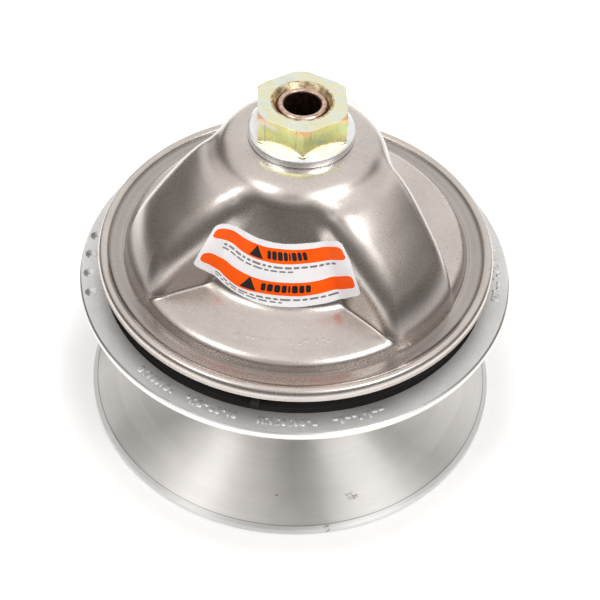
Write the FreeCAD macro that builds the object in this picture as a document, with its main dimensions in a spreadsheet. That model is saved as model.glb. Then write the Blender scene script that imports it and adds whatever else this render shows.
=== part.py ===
import FreeCAD, Part
import Sketcher
import math
import os

# Drive clutch (primary pulley) of a belt drive with variable ratio.
# Frame: Z is the shaft axis and points up to the nut, Z = 0 is the plane of
# the lower flange's bottom rim.  All sizes in millimetres.
# The lower flange, the shaft, the cover and the nut turn as one piece.  The
# upper flange slides down the shaft to close the belt groove.  Three weight
# blocks sit in the three channels of the cover, slide outwards on ribs of the
# upper flange and wedge it down under the ramps.

V = FreeCAD.Vector
Rot = FreeCAD.Rotation
Place = FreeCAD.Placement
doc = FreeCAD.newDocument("drive_clutch")

# ---------------------------------------------------------------- dimensions
DIMS = [
    ("sheave_radius", 103.0, "outer radius of both flanges"),
    ("cone_slope", 0.2309, "rise per mm of radius of the belt faces, 13 degrees"),
    ("fixed_rim_top", 3.7, "height of the lower flange's rim"),
    ("moving_rim_low", 75.0, "lower edge of the upper flange's rim, open groove"),
    ("land_height", 79.35, "top of the upper flange's land"),
    ("land_inner", 91.8, "inner radius of the land"),
    ("shift_travel", 32.0, "axial travel of the upper flange"),
    ("shaft_radius", 16.5, "sliding journal of the shaft"),
    ("shaft_foot_radius", 19.0, "press seat of the lower flange"),
    ("shaft_shoulder", 153.2, "height of the shoulder under the cover"),
    ("thread_radius", 11.1, "threaded end, 7/8 inch"),
    ("tube_radius", 10.6, "plain tip of the threaded end"),
    ("tube_top", 176.2, "top of the tube tip"),
    ("bolt_bore", 8.0, "through bore for the crank bolt, radius"),
    ("taper_mouth", 15.0, "crank taper, radius at the mouth"),
    ("taper_end", 13.0, "crank taper, radius at the inner end"),
    ("taper_top", 42.0, "height of the taper's inner end"),
    ("hub_bore", 24.0, "inner radius of the upper flange's hub"),
    ("hub_outer", 27.5, "outer radius of the upper flange's hub"),
    ("hub_top", 149.5, "top of the upper flange's hub"),
    ("bush_gap", 0.05, "radial running clearance of both bushings"),
    ("bush_lower_top", 72.0, "top of the lower bushing"),
    ("bush_upper_wall", 18.0, "outer radius of the upper bushing"),
    ("seat_low", 74.0, "underside of the spring seat ring"),
    ("seat_top", 77.0, "top of the spring seat ring"),
    ("wire_radius", 2.3, "spring wire"),
    ("coil_radius", 20.95, "mean radius of the spring"),
    ("cup_thick", 2.5, "thickness of the spring cup"),
    ("boss_circle", 28.0, "pitch radius of the three hub bosses"),
    ("boss_radius", 4.2, "radius of a hub boss"),
    ("rib_half", 8.0, "half width of a guide rib"),
    ("rib_top", 92.0, "top of the guide ribs"),
    ("rib_end", 74.0, "outer end of the guide ribs"),
    ("sheet_thick", 2.8, "wall of the cover"),
    ("lobe_half", 24.5, "outer half width of a channel"),
    ("seat_height", 159.2, "cover's flat seat under the washer"),
    ("cover_rim_low", 89.1, "bottom edge of the cover"),
    ("cover_rim_radius", 93.4, "outer radius of the cover"),
    ("ramp_slope", 1.05, "fall of the ramps per mm of radius"),
    ("ramp_start", 148.0, "ramp height at the block's inner end"),
    ("block_inner", 28.5, "inner end of a block, groove open"),
    ("block_length", 12.5, "radial length of a block"),
    ("block_half", 18.5, "half width of a block"),
    ("block_low", 82.0, "bottom of a block's legs"),
    ("shoe_drop", 4.35, "vertical thickness of the top shoe"),
    ("side_shoe", 2.8, "thickness of a side shoe"),
    ("washer_radius", 23.4, "outer radius of the top washer"),
    ("washer_thick", 4.4, "thickness of the top washer"),
    ("nut_flats", 38.1, "nut across flats, 1 1/2 inch"),
    ("nut_top", 177.4, "top face of the nut"),
    ("lobe_azimuth", -40.0, "direction of the first channel"),
]
sheet = doc.addObject("Spreadsheet::Sheet", "dims")
for row, (alias, value, note) in enumerate(DIMS, start=1):
    sheet.set("A%d" % row, alias)
    sheet.set("B%d" % row, str(value))
    sheet.set("C%d" % row, note)
    sheet.setAlias("B%d" % row, alias)
doc.recompute()


class Q:
    """A size: its number now and the sheet formula it follows."""

    def __init__(self, value, text=None):
        self.v = float(value)
        self.t = text if text is not None else repr(float(value))

    def __add__(self, o):
        o = q(o)
        return Q(self.v + o.v, "(%s + %s)" % (self.t, o.t))

    def __sub__(self, o):
        o = q(o)
        return Q(self.v - o.v, "(%s - %s)" % (self.t, o.t))

    def __mul__(self, o):
        o = q(o)
        return Q(self.v * o.v, "(%s * %s)" % (self.t, o.t))

    def __truediv__(self, o):
        o = q(o)
        return Q(self.v / o.v, "(%s / %s)" % (self.t, o.t))

    __radd__ = __add__

    def __rsub__(self, o):
        return q(o) - self

    def __rmul__(self, o):
        return q(o) * self


def q(x):
    return x if isinstance(x, Q) else Q(x)


D = {alias: Q(value, "dims.%s" % alias) for alias, value, note in DIMS}


# ------------------------------------------------------------------- helpers
def body(label, azimuth=None):
    b = doc.addObject("PartDesign::Body", label)
    b.Label = label
    if azimuth is not None:
        b.Placement = Place(V(0, 0, 0), Rot(V(0, 0, 1), azimuth))
    return b


def origin_item(b, role):
    for f in b.Origin.OriginFeatures:
        if f.Role == role:
            return f
    raise ValueError(role)


def pin_point(sk, geo, pos, x, y):
    """Fix a sketch point at (x, y) with sheet-driven dimensions."""
    for axis, val in (("X", q(x)), ("Y", q(y))):
        if abs(val.v) < 1e-9:
            sk.addConstraint(Sketcher.Constraint("PointOnObject", geo, pos, -2 if axis == "X" else -1))
            continue
        if val.v > 0:
            n = sk.addConstraint(Sketcher.Constraint("Distance" + axis, -1, 1, geo, pos, val.v))
            text = val.t
        else:
            n = sk.addConstraint(Sketcher.Constraint("Distance" + axis, geo, pos, -1, 1, -val.v))
            text = "-(%s)" % val.t
        if "dims." in text:
            sk.setExpression("Constraints[%d]" % n, text)


def draw_polygon(sk, pts):
    base = sk.GeometryCount
    n = len(pts)
    P = [(q(a), q(b)) for a, b in pts]
    for i in range(n):
        a, b = P[i], P[(i + 1) % n]
        sk.addGeometry(Part.LineSegment(V(a[0].v, a[1].v, 0), V(b[0].v, b[1].v, 0)), False)
    for i in range(n):
        sk.addConstraint(Sketcher.Constraint("Coincident", base + i, 2, base + (i + 1) % n, 1))
    for i in range(n):
        pin_point(sk, base + i, 1, P[i][0], P[i][1])


def draw_circle(sk, cx, cy, r):
    cx, cy, r = q(cx), q(cy), q(r)
    g = sk.addGeometry(Part.Circle(V(cx.v, cy.v, 0), V(0, 0, 1), r.v), False)
    pin_point(sk, g, 3, cx, cy)
    n = sk.addConstraint(Sketcher.Constraint("Radius", g, r.v))
    if "dims." in r.t:
        sk.setExpression("Constraints[%d]" % n, r.t)


def sketch(b, name, role, polygons=(), circles=(), lift=None):
    sk = b.newObject("Sketcher::SketchObject", name)
    sk.AttachmentSupport = [(origin_item(b, role), "")]
    sk.MapMode = "FlatFace"
    if lift is not None:
        lift = q(lift)
        sk.AttachmentOffset = Place(V(0, 0, lift.v), Rot())
        if "dims." in lift.t:
            sk.setExpression("AttachmentOffset.Base.z", lift.t)
    for poly in polygons:
        draw_polygon(sk, poly)
    for c in circles:
        draw_circle(sk, *c)
    return sk


def drive(obj, prop, val):
    val = q(val)
    setattr(obj, prop, val.v)
    if "dims." in val.t:
        obj.setExpression(prop, val.t)


def revolve(b, name, sk, angle=360.0, middle=False):
    r = b.newObject("PartDesign::Revolution", name)
    r.Profile = sk
    r.ReferenceAxis = (sk, ["V_Axis"])
    r.Angle = angle
    r.Midplane = middle
    return r


def groove(b, name, sk, angle=360.0):
    r = b.newObject("PartDesign::Groove", name)
    r.Profile = sk
    r.ReferenceAxis = (sk, ["V_Axis"])
    r.Angle = angle
    return r


def pad(b, name, sk, length, both=False, reverse=False):
    p = b.newObject("PartDesign::Pad", name)
    p.Profile = sk
    drive(p, "Length", length)
    if both:
        p.SideType = "Symmetric"
    p.Reversed = reverse
    return p


def pocket(b, name, sk, length=None, both=False, reverse=False):
    p = b.newObject("PartDesign::Pocket", name)
    p.Profile = sk
    if length is None:
        p.Type = "ThroughAll"
    else:
        drive(p, "Length", length)
    if both:
        p.SideType = "Symmetric"
    p.Reversed = reverse
    return p


def polar(b, name, originals, count, angle=360.0):
    p = b.newObject("PartDesign::PolarPattern", name)
    p.Originals = originals
    p.Axis = (origin_item(b, "Z_Axis"), [""])
    p.Angle = angle
    p.Occurrences = count
    b.Tip = p
    return p


def edges_where(feature, test):
    names = []
    for i, e in enumerate(feature.Shape.Edges, start=1):
        if test(e):
            names.append("Edge%d" % i)
    return names


def round_edges(b, name, feature, names, radius):
    f = b.newObject("PartDesign::Fillet", name)
    f.Base = (feature, names)
    drive(f, "Radius", radius)
    return f


def bevel_edges(b, name, feature, names, size):
    f = b.newObject("PartDesign::Chamfer", name)
    f.Base = (feature, names)
    drive(f, "Size", size)
    return f


def ring_edge(radius, height, tol=0.05):
    """Test for a full circle about Z of this radius at this height."""
    def test(e):
        c = e.Curve
        return (isinstance(c, Part.Circle) and abs(c.Radius - radius) < tol
                and abs(c.Center.z - height) < tol and math.hypot(c.Center.x, c.Center.y) < tol)
    return test


def cuts(before, b, what):
    """A cut that removes nothing is an error, so the volumes are compared."""
    doc.recompute()
    after = b.Shape.Volume
    if not after < before - 0.5:
        raise RuntimeError("%s cut nothing: %.1f -> %.1f" % (what, before, after))
    return after


AZ = [D["lobe_azimuth"].v, D["lobe_azimuth"].v - 120.0, D["lobe_azimuth"].v + 120.0]
VALLEY = [a - 60.0 for a in AZ]
NODES = []

R = D["sheave_radius"]
slope = D["cone_slope"]


def fixed_face(r):
    return D["fixed_rim_top"] + (R - r) * slope


def moving_face(r):
    return D["moving_rim_low"] - (R - r) * slope


# ------------------------------------------------------------- fixed flange
# Conical lower half with a hub, a flat rim that the clutch stands on, and
# stiffening ribs in the dished back.
b = body("fixed_flange")
sk = sketch(b, "fixed_profile", "XZ_Plane", [[
    (D["shaft_foot_radius"], 2.0), (29.0, 2.0), (30.0, 3.0), (30.0, 13.6),
    (92.0, 1.9), (96.5, 0.6), (97.0, 0.0), (R - 0.4, 0.0), (R, 0.4), (R, D["fixed_rim_top"] - 0.4),
    (R - 0.4, D["fixed_rim_top"]), (22.0, fixed_face(22.0)), (21.4, fixed_face(22.0) + 0.4),
    (D["shaft_foot_radius"], fixed_face(22.0) + 0.4),
]])
revolve(b, "fixed_disc", sk)
sk = sketch(b, "fixed_rib_profile", "XZ_Plane", [[
    (28.0, 3.0), (31.0, 1.2), (88.5, 1.2), (92.0, 2.6), (29.0, 15.2), (28.0, 12.0)]])
rib = pad(b, "fixed_rib", sk, 3.6, both=True)
polar(b, "fixed_ribs", [rib], 12)
NODES.append(b)

# --------------------------------------------------------------- main shaft
# Hollow steel shaft: crank taper at the bottom, bolt bore above it, journal,
# shoulder for the cover, thread and tube tip.
b = body("main_shaft")
sk = sketch(b, "shaft_profile", "XZ_Plane", [[
    (D["taper_mouth"], 2.0), (18.4, 2.0), (D["shaft_foot_radius"], 2.6),
    (D["shaft_foot_radius"], 22.8), (18.4, 23.4), (D["shaft_radius"], 23.4),
    (D["shaft_radius"], D["seat_low"] - 1.6), (15.3, D["seat_low"] - 1.6), (15.3, D["seat_low"]),
    (D["shaft_radius"], D["seat_low"]), (D["shaft_radius"], D["shaft_shoulder"] - 0.5),
    (D["shaft_radius"] - 0.5, D["shaft_shoulder"]), (D["thread_radius"], D["shaft_shoulder"]),
    (D["thread_radius"], D["tube_top"] - 2.6), (D["tube_radius"], D["tube_top"] - 2.1),
    (D["tube_radius"], D["tube_top"] - 0.5), (D["tube_radius"] - 0.5, D["tube_top"]),
    (D["bolt_bore"] + 0.6, D["tube_top"]), (D["bolt_bore"], D["tube_top"] - 0.6),
    (D["bolt_bore"], D["taper_top"] + 3.0), (D["taper_end"], D["taper_top"]),
]])
revolve(b, "shaft_turned", sk)
NODES.append(b)

# ----------------------------------------------------------- sliding flange
# Conical upper half: belt face below, cast land on top, dished inside, tall
# hub for the spring, three guide ribs for the blocks and three screw bosses.
b = body("sliding_flange")
sk = sketch(b, "moving_profile", "XZ_Plane", [[
    (D["hub_bore"], moving_face(26.0)), (26.0, moving_face(26.0)),
    (R - 0.4, D["moving_rim_low"]), (R, D["moving_rim_low"] + 0.4),
    (R, D["land_height"] - 0.9), (R - 0.9, D["land_height"]),
    (D["land_inner"], D["land_height"]), (D["land_inner"] - 0.6, D["land_height"] - 2.2),
    (88.0, 76.2), (34.0, 66.6), (30.0, 68.0), (D["hub_outer"] + 0.6, 72.0),
    (D["hub_outer"], 78.0), (D["hub_outer"], D["hub_top"]), (D["hub_bore"], D["hub_top"]),
]])
disc = revolve(b, "moving_disc", sk)
sk = sketch(b, "guide_profile", "XZ_Plane", [[
    (26.0, 66.0), (36.0, 65.0), (D["rib_end"] + 2.0, 72.5), (D["rib_end"] + 2.0, D["rib_top"] - 6.0),
    (D["rib_end"], D["rib_top"]), (26.0, D["rib_top"])]])
guide = pad(b, "guide_rib", sk, D["rib_half"] * 2.0, both=True)
polar(b, "guide_ribs", [guide], 3)
sk = sketch(b, "boss_circle_sketch", "XY_Plane", circles=[
    (D["boss_circle"] * 0.5, D["boss_circle"] * 0.8660254, D["boss_radius"])], lift=66.0)
boss = pad(b, "hub_boss", sk, D["hub_top"] - 66.0)
polar(b, "hub_bosses", [boss], 3)
sk = sketch(b, "web_profile", "XZ_Plane", [[
    (27.0, 66.0), (36.0, 64.5), (89.0, 75.0), (87.0, 77.8), (60.0, 80.0), (27.0, 90.0)]])
sk.AttachmentOffset = Place(V(0, 0, 0), Rot(V(0, 1, 0), 60.0))
web = pad(b, "web", sk, 4.0, both=True)
polar(b, "webs", [web], 3)
doc.recompute()
vol = b.Shape.Volume
sk = sketch(b, "hub_clear", "XY_Plane", circles=[(0.0, 0.0, D["hub_bore"])], lift=200.0)
pocket(b, "hub_clear_cut", sk, 150.0)
doc.recompute()
sk = sketch(b, "boss_hole", "XY_Plane", circles=[
    (D["boss_circle"] * 0.5, D["boss_circle"] * 0.8660254, 1.75)], lift=D["hub_top"])
vol = b.Shape.Volume
hole = pocket(b, "boss_thread", sk, 13.0)
vol = cuts(vol, b, "boss thread")
polar(b, "boss_threads", [hole], 3)
doc.recompute()
vol = b.Shape.Volume
# four balance drillings in the land, side by side, each opened to a cone
a0 = math.radians(173.0 - D["lobe_azimuth"].v)
sk = sketch(b, "balance_spot", "XY_Plane",
            circles=[(98.2 * math.cos(a0), 98.2 * math.sin(a0), 1.3)], lift=D["land_height"])
spot = pocket(b, "balance_drill", sk, 1.9)
vol = cuts(vol, b, "balance drilling")
drills = polar(b, "balance_drills", [spot], 4, 22.0)
doc.recompute()
rims = edges_where(drills, lambda e: isinstance(e.Curve, Part.Circle) and abs(e.Curve.Radius - 1.3) < 0.02
                   and abs(e.Curve.Center.z - D["land_height"].v) < 0.02)
if len(rims) != 4:
    raise RuntimeError("expected four drilling rims, found %d" % len(rims))
vol = b.Shape.Volume
cones = bevel_edges(b, "balance_cones", drills, rims, 1.7)
b.Tip = cones
vol = cuts(vol, b, "balance cones")
b.Placement = Place(V(0, 0, 0), Rot(V(0, 0, 1), AZ[0]))
NODES.append(b)

# ----------------------------------------------------------------- bushings
b = body("lower_bushing")
sk = sketch(b, "lower_bushing_profile", "XZ_Plane", [[
    (D["shaft_radius"] + D["bush_gap"], moving_face(26.0) + 0.4),
    (D["hub_bore"], moving_face(26.0) + 0.4), (D["hub_bore"], D["bush_lower_top"] - 0.5),
    (D["hub_bore"] - 0.5, D["bush_lower_top"]),
    (D["shaft_radius"] + D["bush_gap"] + 0.6, D["bush_lower_top"]),
    (D["shaft_radius"] + D["bush_gap"], D["bush_lower_top"] - 0.6)]])
revolve(b, "lower_bushing_ring", sk)
NODES.append(b)

b = body("upper_bushing")
sk = sketch(b, "upper_bushing_profile", "XZ_Plane", [[
    (D["shaft_radius"] + D["bush_gap"], D["hub_top"] - 12.0),
    (D["bush_upper_wall"] - 0.3, D["hub_top"] - 12.0), (D["bush_upper_wall"], D["hub_top"] - 11.7),
    (D["bush_upper_wall"], D["hub_top"] + D["cup_thick"]),
    (D["shaft_radius"] + D["bush_gap"], D["hub_top"] + D["cup_thick"])]])
revolve(b, "upper_bushing_ring", sk)
NODES.append(b)

# ------------------------------------------------------------ spring system
b = body("spring_seat_ring")
sk = sketch(b, "seat_profile", "XZ_Plane", [[
    (D["shaft_radius"], D["seat_low"]), (23.0, D["seat_low"]), (23.3, D["seat_low"] + 0.3),
    (23.3, D["seat_top"]), (18.1, D["seat_top"]), (17.8, D["seat_top"] + 3.0),
    (D["shaft_radius"], D["seat_top"] + 3.0)]])
revolve(b, "seat_ring", sk)
NODES.append(b)

b = body("seat_circlip")
sk = sketch(b, "clip_profile", "XZ_Plane", [[
    (15.3, D["seat_low"] - 1.5), (19.6, D["seat_low"] - 1.5),
    (19.6, D["seat_low"] - 0.02), (15.3, D["seat_low"] - 0.02)]])
revolve(b, "clip_ring", sk, 325.0)
NODES.append(b)

b = body("drive_spring")
turns = 6.0
# closed flat ends: the wire lies on both seats for a full turn
sk = sketch(b, "wire_section", "XZ_Plane",
            circles=[(D["coil_radius"], D["seat_top"] + D["wire_radius"] + 0.05, D["wire_radius"])])
h = b.newObject("PartDesign::AdditiveHelix", "wire_helix")
h.Profile = sk
h.ReferenceAxis = (sk, ["V_Axis"])
h.Mode = "height-turns-angle"
drive(h, "Height", D["hub_top"] - D["seat_top"] - D["wire_radius"] * 2.0 - 0.1)
h.Turns = turns
h.Angle = 0.0
b.Tip = h
NODES.append(b)

b = body("spring_cup")
sk = sketch(b, "cup_disc_sketch", "XY_Plane", circles=[(0.0, 0.0, D["hub_outer"])], lift=D["hub_top"])
pad(b, "cup_disc", sk, D["cup_thick"])
sk = sketch(b, "cup_ear_sketch", "XY_Plane", circles=[
    (D["boss_circle"] * 0.5, D["boss_circle"] * 0.8660254, D["boss_radius"])], lift=D["hub_top"])
ear = pad(b, "cup_ear", sk, D["cup_thick"])
polar(b, "cup_ears", [ear], 3)
doc.recompute()
vol = b.Shape.Volume
sk = sketch(b, "cup_bore_sketch", "XY_Plane", circles=[(0.0, 0.0, D["bush_upper_wall"])],
            lift=D["hub_top"] + D["cup_thick"])
pocket(b, "cup_bore", sk, D["cup_thick"] + 1.0)
vol = cuts(vol, b, "cup bore")
sk = sketch(b, "cup_screw_sketch", "XY_Plane", circles=[
    (D["boss_circle"] * 0.5, D["boss_circle"] * 0.8660254, 3.6)],
    lift=D["hub_top"] + D["cup_thick"])
sink = pocket(b, "cup_sink", sk, 1.4)
vol = cuts(vol, b, "cup counterbore")
polar(b, "cup_sinks", [sink], 3)
doc.recompute()
vol = b.Shape.Volume
sk = sketch(b, "cup_hole_sketch", "XY_Plane", circles=[
    (D["boss_circle"] * 0.5, D["boss_circle"] * 0.8660254, 1.95)],
    lift=D["hub_top"] + D["cup_thick"])
hole = pocket(b, "cup_hole", sk, D["cup_thick"] + 1.0)
vol = cuts(vol, b, "cup screw hole")
polar(b, "cup_holes", [hole], 3)
b.Placement = Place(V(0, 0, 0), Rot(V(0, 0, 1), AZ[0]))
NODES.append(b)


def solids_node(label, parts):
    """Several like pieces in one node, each its own solid."""
    c = doc.addObject("Part::Compound", label)
    c.Label = label
    c.Links = parts
    NODES.append(c)
    return c


def cylinder(name, r, height, base, axis=None):
    c = doc.addObject("Part::Cylinder", name)
    drive(c, "Radius", r)
    drive(c, "Height", height)
    c.Placement = Place(base, axis if axis is not None else Rot())
    return c


# low-head screws that hold the spring cup on the hub
screws = []
for i, az in enumerate(AZ):
    a = math.radians(az + 60.0)
    cx, cy = D["boss_circle"].v * math.cos(a), D["boss_circle"].v * math.sin(a)
    top = D["hub_top"].v + D["cup_thick"].v
    head = cylinder("cup_screw_head_%d" % (i + 1), 3.5, 1.35, V(cx, cy, top - 1.38))
    shank = cylinder("cup_screw_shank_%d" % (i + 1), 1.72, 12.0, V(cx, cy, top - 13.0))
    drive_hole = doc.addObject("Part::Prism", "cup_screw_socket_%d" % (i + 1))
    drive_hole.Polygon = 6
    drive_hole.Circumradius = 1.5
    drive_hole.Height = 2.0
    drive_hole.Placement = Place(V(cx, cy, top - 1.0), Rot())
    whole = doc.addObject("Part::Fuse", "cup_screw_body_%d" % (i + 1))
    whole.Base, whole.Tool = head, shank
    s = doc.addObject("Part::Cut", "cup_screw_%d" % (i + 1))
    s.Base, s.Tool = whole, drive_hole
    screws.append(s)
solids_node("spring_cup_screws", screws)


# -------------------------------------------------------------------- cover
# Pressed cup: a domed top, a steep wall between the channels, a sloping
# ledge, a rolled shoulder, a shallow groove and a rim.  The three channels
# are flat-sided and their tops follow one curved cone about the axis.
def free_sketch(name, pts):
    sk = doc.addObject("Sketcher::SketchObject", name)
    sk.Placement = Place(V(0, 0, 0), Rot(V(1, 0, 0), 90))
    draw_polygon(sk, pts)
    return sk


def turned(name, sk):
    r = doc.addObject("Part::Revolution", name)
    r.Source = sk
    r.Axis = (0, 0, 1)
    r.Base = (0, 0, 0)
    r.Angle = 360.0
    r.Solid = True
    return r


WALL = [(24.0, 159.2), (30.0, 158.0), (34.5, 155.4), (38.0, 151.2), (53.2, 106.2), (56.0, 103.8),
        (62.0, 102.0), (75.0, 98.9), (77.6, 98.1), (79.3, 96.8), (80.4, 94.9), (81.8, 93.8), (84.0, 93.5),
        (87.4, 93.6)]
CREST = [(24.0, 159.2), (30.0, 158.0), (34.5, 155.4), (38.7, 152.6), (42.0, 150.4), (46.0, 147.7),
         (50.0, 144.4), (54.0, 140.6), (58.0, 136.4), (62.0, 132.2), (66.0, 127.7), (70.0, 122.8),
         (74.0, 117.5), (77.0, 113.0), (79.3, 108.8), (81.2, 104.4), (82.3, 99.6), (83.0, 94.6)]


def inset(pts, t):
    """The same line moved inwards by the sheet thickness."""
    out = []
    n = len(pts)
    for i in range(n):
        a = pts[max(i - 1, 0)]
        c = pts[min(i + 1, n - 1)]
        if i == 0 or i == n - 1:
            dx, dz = c[0] - a[0], c[1] - a[1]
            k = 1.0
        else:
            u1 = (pts[i][0] - a[0], pts[i][1] - a[1])
            u2 = (c[0] - pts[i][0], c[1] - pts[i][1])
            l1, l2 = math.hypot(*u1), math.hypot(*u2)
            dx, dz = u1[0] / l1 + u2[0] / l2, u1[1] / l1 + u2[1] / l2
            k = 2.0 / math.hypot(dx, dz)
            k = min(k, 1.3)
        ln = math.hypot(dx, dz)
        nx, nz = -dz / ln, dx / ln
        out.append((round(pts[i][0] - nx * t * k, 3), round(pts[i][1] - nz * t * k, 3)))
    return out


seat = D["seat_height"]
rim_r, rim_z = D["cover_rim_radius"], D["cover_rim_low"]
t = D["sheet_thick"].v


def from_seat(pts):
    """Points given for the nominal seat height, tied to the sheet's value."""
    return [(x, seat - (D["seat_height"].v - z)) for x, z in pts]


wall_out = free_sketch("cover_wall_sketch", [(0.0, rim_z), (0.0, seat)] + from_seat(WALL) + [
    (88.3, seat - 64.6), (89.4, seat - 63.8), (90.8, seat - 63.7), (92.4, seat - 64.5), (rim_r, seat - 66.4),
    (rim_r, rim_z)])
wall_in_pts = inset(WALL, t)
wall_in = free_sketch("cover_hollow_sketch", [(0.0, rim_z - 1.0), (0.0, seat - t)] + from_seat(wall_in_pts) + [
    (rim_r - t, seat - 68.4), (rim_r - t, rim_z - 1.0)])
crest_out = free_sketch("channel_sketch", [(0.0, 93.0), (0.0, seat)] + from_seat(CREST) + [(83.0, 93.0)])
crest_in_pts = [p for p in inset(CREST, t) if p[1] > 98.5]
crest_in = free_sketch("channel_hollow_sketch",
                       [(0.0, rim_z - 1.0), (0.0, seat - t)] + from_seat(crest_in_pts) + [
                           (79.9, seat - 61.2), (79.9, rim_z - 1.0)])
rev_wall = turned("cover_wall_solid", wall_out)
rev_wall_in = turned("cover_hollow_solid", wall_in)
rev_crest = turned("channel_cone", crest_out)
rev_crest_in = turned("channel_hollow_cone", crest_in)


def slab(name, half, az, low, high, u0, u1):
    """Flat-sided block from u0 to u1 along a channel's direction."""
    s = doc.addObject("Part::Box", name)
    s.Length = u1 - u0
    drive(s, "Width", half * 2.0)
    s.Height = high - low
    rot = Rot(V(0, 0, 1), az)
    s.Placement = Place(rot.multVec(V(u0, -q(half).v, low)), rot)
    return s


outer_parts, inner_parts = [rev_wall], [rev_wall_in]
for i, az in enumerate(AZ):
    s = slab("channel_slab_%d" % (i + 1), D["lobe_half"], az, 90.0, 165.0, 5.0, 90.0)
    c = doc.addObject("Part::Common", "channel_%d" % (i + 1))
    c.Base, c.Tool = rev_crest, s
    outer_parts.append(c)
    s = slab("channel_hollow_slab_%d" % (i + 1), D["lobe_half"] - D["sheet_thick"], az, 80.0, 165.0, 5.0, 90.0)
    c = doc.addObject("Part::Common", "channel_hollow_%d" % (i + 1))
    c.Base, c.Tool = rev_crest_in, s
    inner_parts.append(c)
outer = doc.addObject("Part::MultiFuse", "cover_outside")
outer.Shapes = outer_parts
inner = doc.addObject("Part::MultiFuse", "cover_inside")
inner.Shapes = inner_parts
cup = doc.addObject("Part::Cut", "cover_cup")
cup.Base, cup.Tool = outer, inner
bore = cylinder("cover_bore", D["thread_radius"] + 0.15, 40.0, V(0, 0, 140.0))
cover = doc.addObject("Part::Cut", "governor_cover")
cover.Label = "governor_cover"
cover.Base, cover.Tool = cup, bore
NODES.append(cover)

# ramp inserts: they fill the channel's ceiling down to a straight ramp
def ramp_z(u):
    return D["ramp_start"] - (q(u) - D["block_inner"]) * D["ramp_slope"]


for i, az in enumerate(AZ):
    sk = doc.addObject("Sketcher::SketchObject", "ramp_sketch_%d" % (i + 1))
    sk.Placement = Place(V(0, 0, 0), Rot(V(0, 0, 1), az).multiply(Rot(V(1, 0, 0), 90)))
    u0, u1 = D["block_inner"], D["block_inner"] + 42.5
    draw_polygon(sk, [(u0, ramp_z(u0)), (u1, ramp_z(u1)), (u1, ramp_z(u1) + 60.0), (u0, ramp_z(u0) + 30.0)])
    ex = doc.addObject("Part::Extrusion", "ramp_block_%d" % (i + 1))
    ex.Base = sk
    ex.DirMode = "Normal"
    drive(ex, "LengthFwd", D["block_half"])
    drive(ex, "LengthRev", D["block_half"])
    ex.Solid = True
    rc = doc.addObject("Part::Common", "ramp_%d" % (i + 1))
    rc.Label = "ramp_%d" % (i + 1)
    rc.Base, rc.Tool = ex, inner
    NODES.append(rc)

# ------------------------------------------------------------ top fasteners
b = body("cover_backing_plate")
sk = sketch(b, "backing_profile", "XZ_Plane", [[
    (D["thread_radius"] + 0.05, D["shaft_shoulder"]), (25.2, D["shaft_shoulder"]),
    (26.0, D["shaft_shoulder"] + 0.8), (26.0, seat - t - 1.4), (22.8, seat - t), (D["thread_radius"] + 0.05, seat - t)]])
revolve(b, "backing_ring", sk)
NODES.append(b)

b = body("top_washer")
w_top = seat + D["washer_thick"]
sk = sketch(b, "washer_profile", "XZ_Plane", [[
    (D["thread_radius"] + 0.3, seat), (D["washer_radius"] - 0.7, seat), (D["washer_radius"], seat + 0.5),
    (D["washer_radius"], w_top - 0.6), (D["washer_radius"] - 0.9, w_top),
    (D["thread_radius"] + 0.3, w_top)]])
revolve(b, "washer_ring", sk)
NODES.append(b)

# hexagon nut: corners bevelled top and bottom by a cone, countersunk thread
b = body("top_nut", azimuth=-87.0)
hexr = D["nut_flats"] / math.sqrt(3.0)
pts = []
for k in range(6):
    a = math.radians(60.0 * k)
    pts.append((hexr * math.cos(a), hexr * math.sin(a)))
sk = sketch(b, "hexagon", "XY_Plane", [pts], lift=w_top)
pad(b, "hex_prism", sk, D["nut_top"] - w_top)
doc.recompute()
vol = b.Shape.Volume
sk = sketch(b, "nut_bevel_profile", "XZ_Plane", [[
    (20.2, D["nut_top"] + 0.1), (20.2, D["nut_top"]), (24.0, D["nut_top"] - 2.2), (24.0, D["nut_top"] + 0.1)]])
groove(b, "nut_bevel", sk)
vol = cuts(vol, b, "nut bevel")
sk = sketch(b, "nut_foot_profile", "XZ_Plane", [[
    (20.4, w_top - 0.1), (20.4, w_top), (24.0, w_top + 1.3), (24.0, w_top - 0.1)]])
groove(b, "nut_foot", sk)
vol = cuts(vol, b, "nut foot")
sk = sketch(b, "nut_bore_profile", "XZ_Plane", [[
    (0.0, w_top - 1.0), (D["thread_radius"] + 0.05, w_top - 1.0), (D["thread_radius"] + 0.05, D["nut_top"] - 2.2),
    (12.9, D["nut_top"] + 0.05), (0.0, D["nut_top"] + 0.05)]])
groove(b, "nut_thread", sk)
vol = cuts(vol, b, "nut thread")
NODES.append(b)

# -------------------------------------------------------------------- label
# adhesive label on the steep wall between two channels
b = body("caution_label", azimuth=-100.0)
sk = sketch(b, "label_profile", "XZ_Plane", [[
    (52.35, 108.8), (46.16, 127.1), (46.44, 127.2), (52.63, 108.9)]])
revolve(b, "label_sheet", sk, 42.0, middle=True)
NODES.append(b)


# ------------------------------------------------------------ weight blocks
def block_top(u):
    return ramp_z(u) - 0.12


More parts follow.
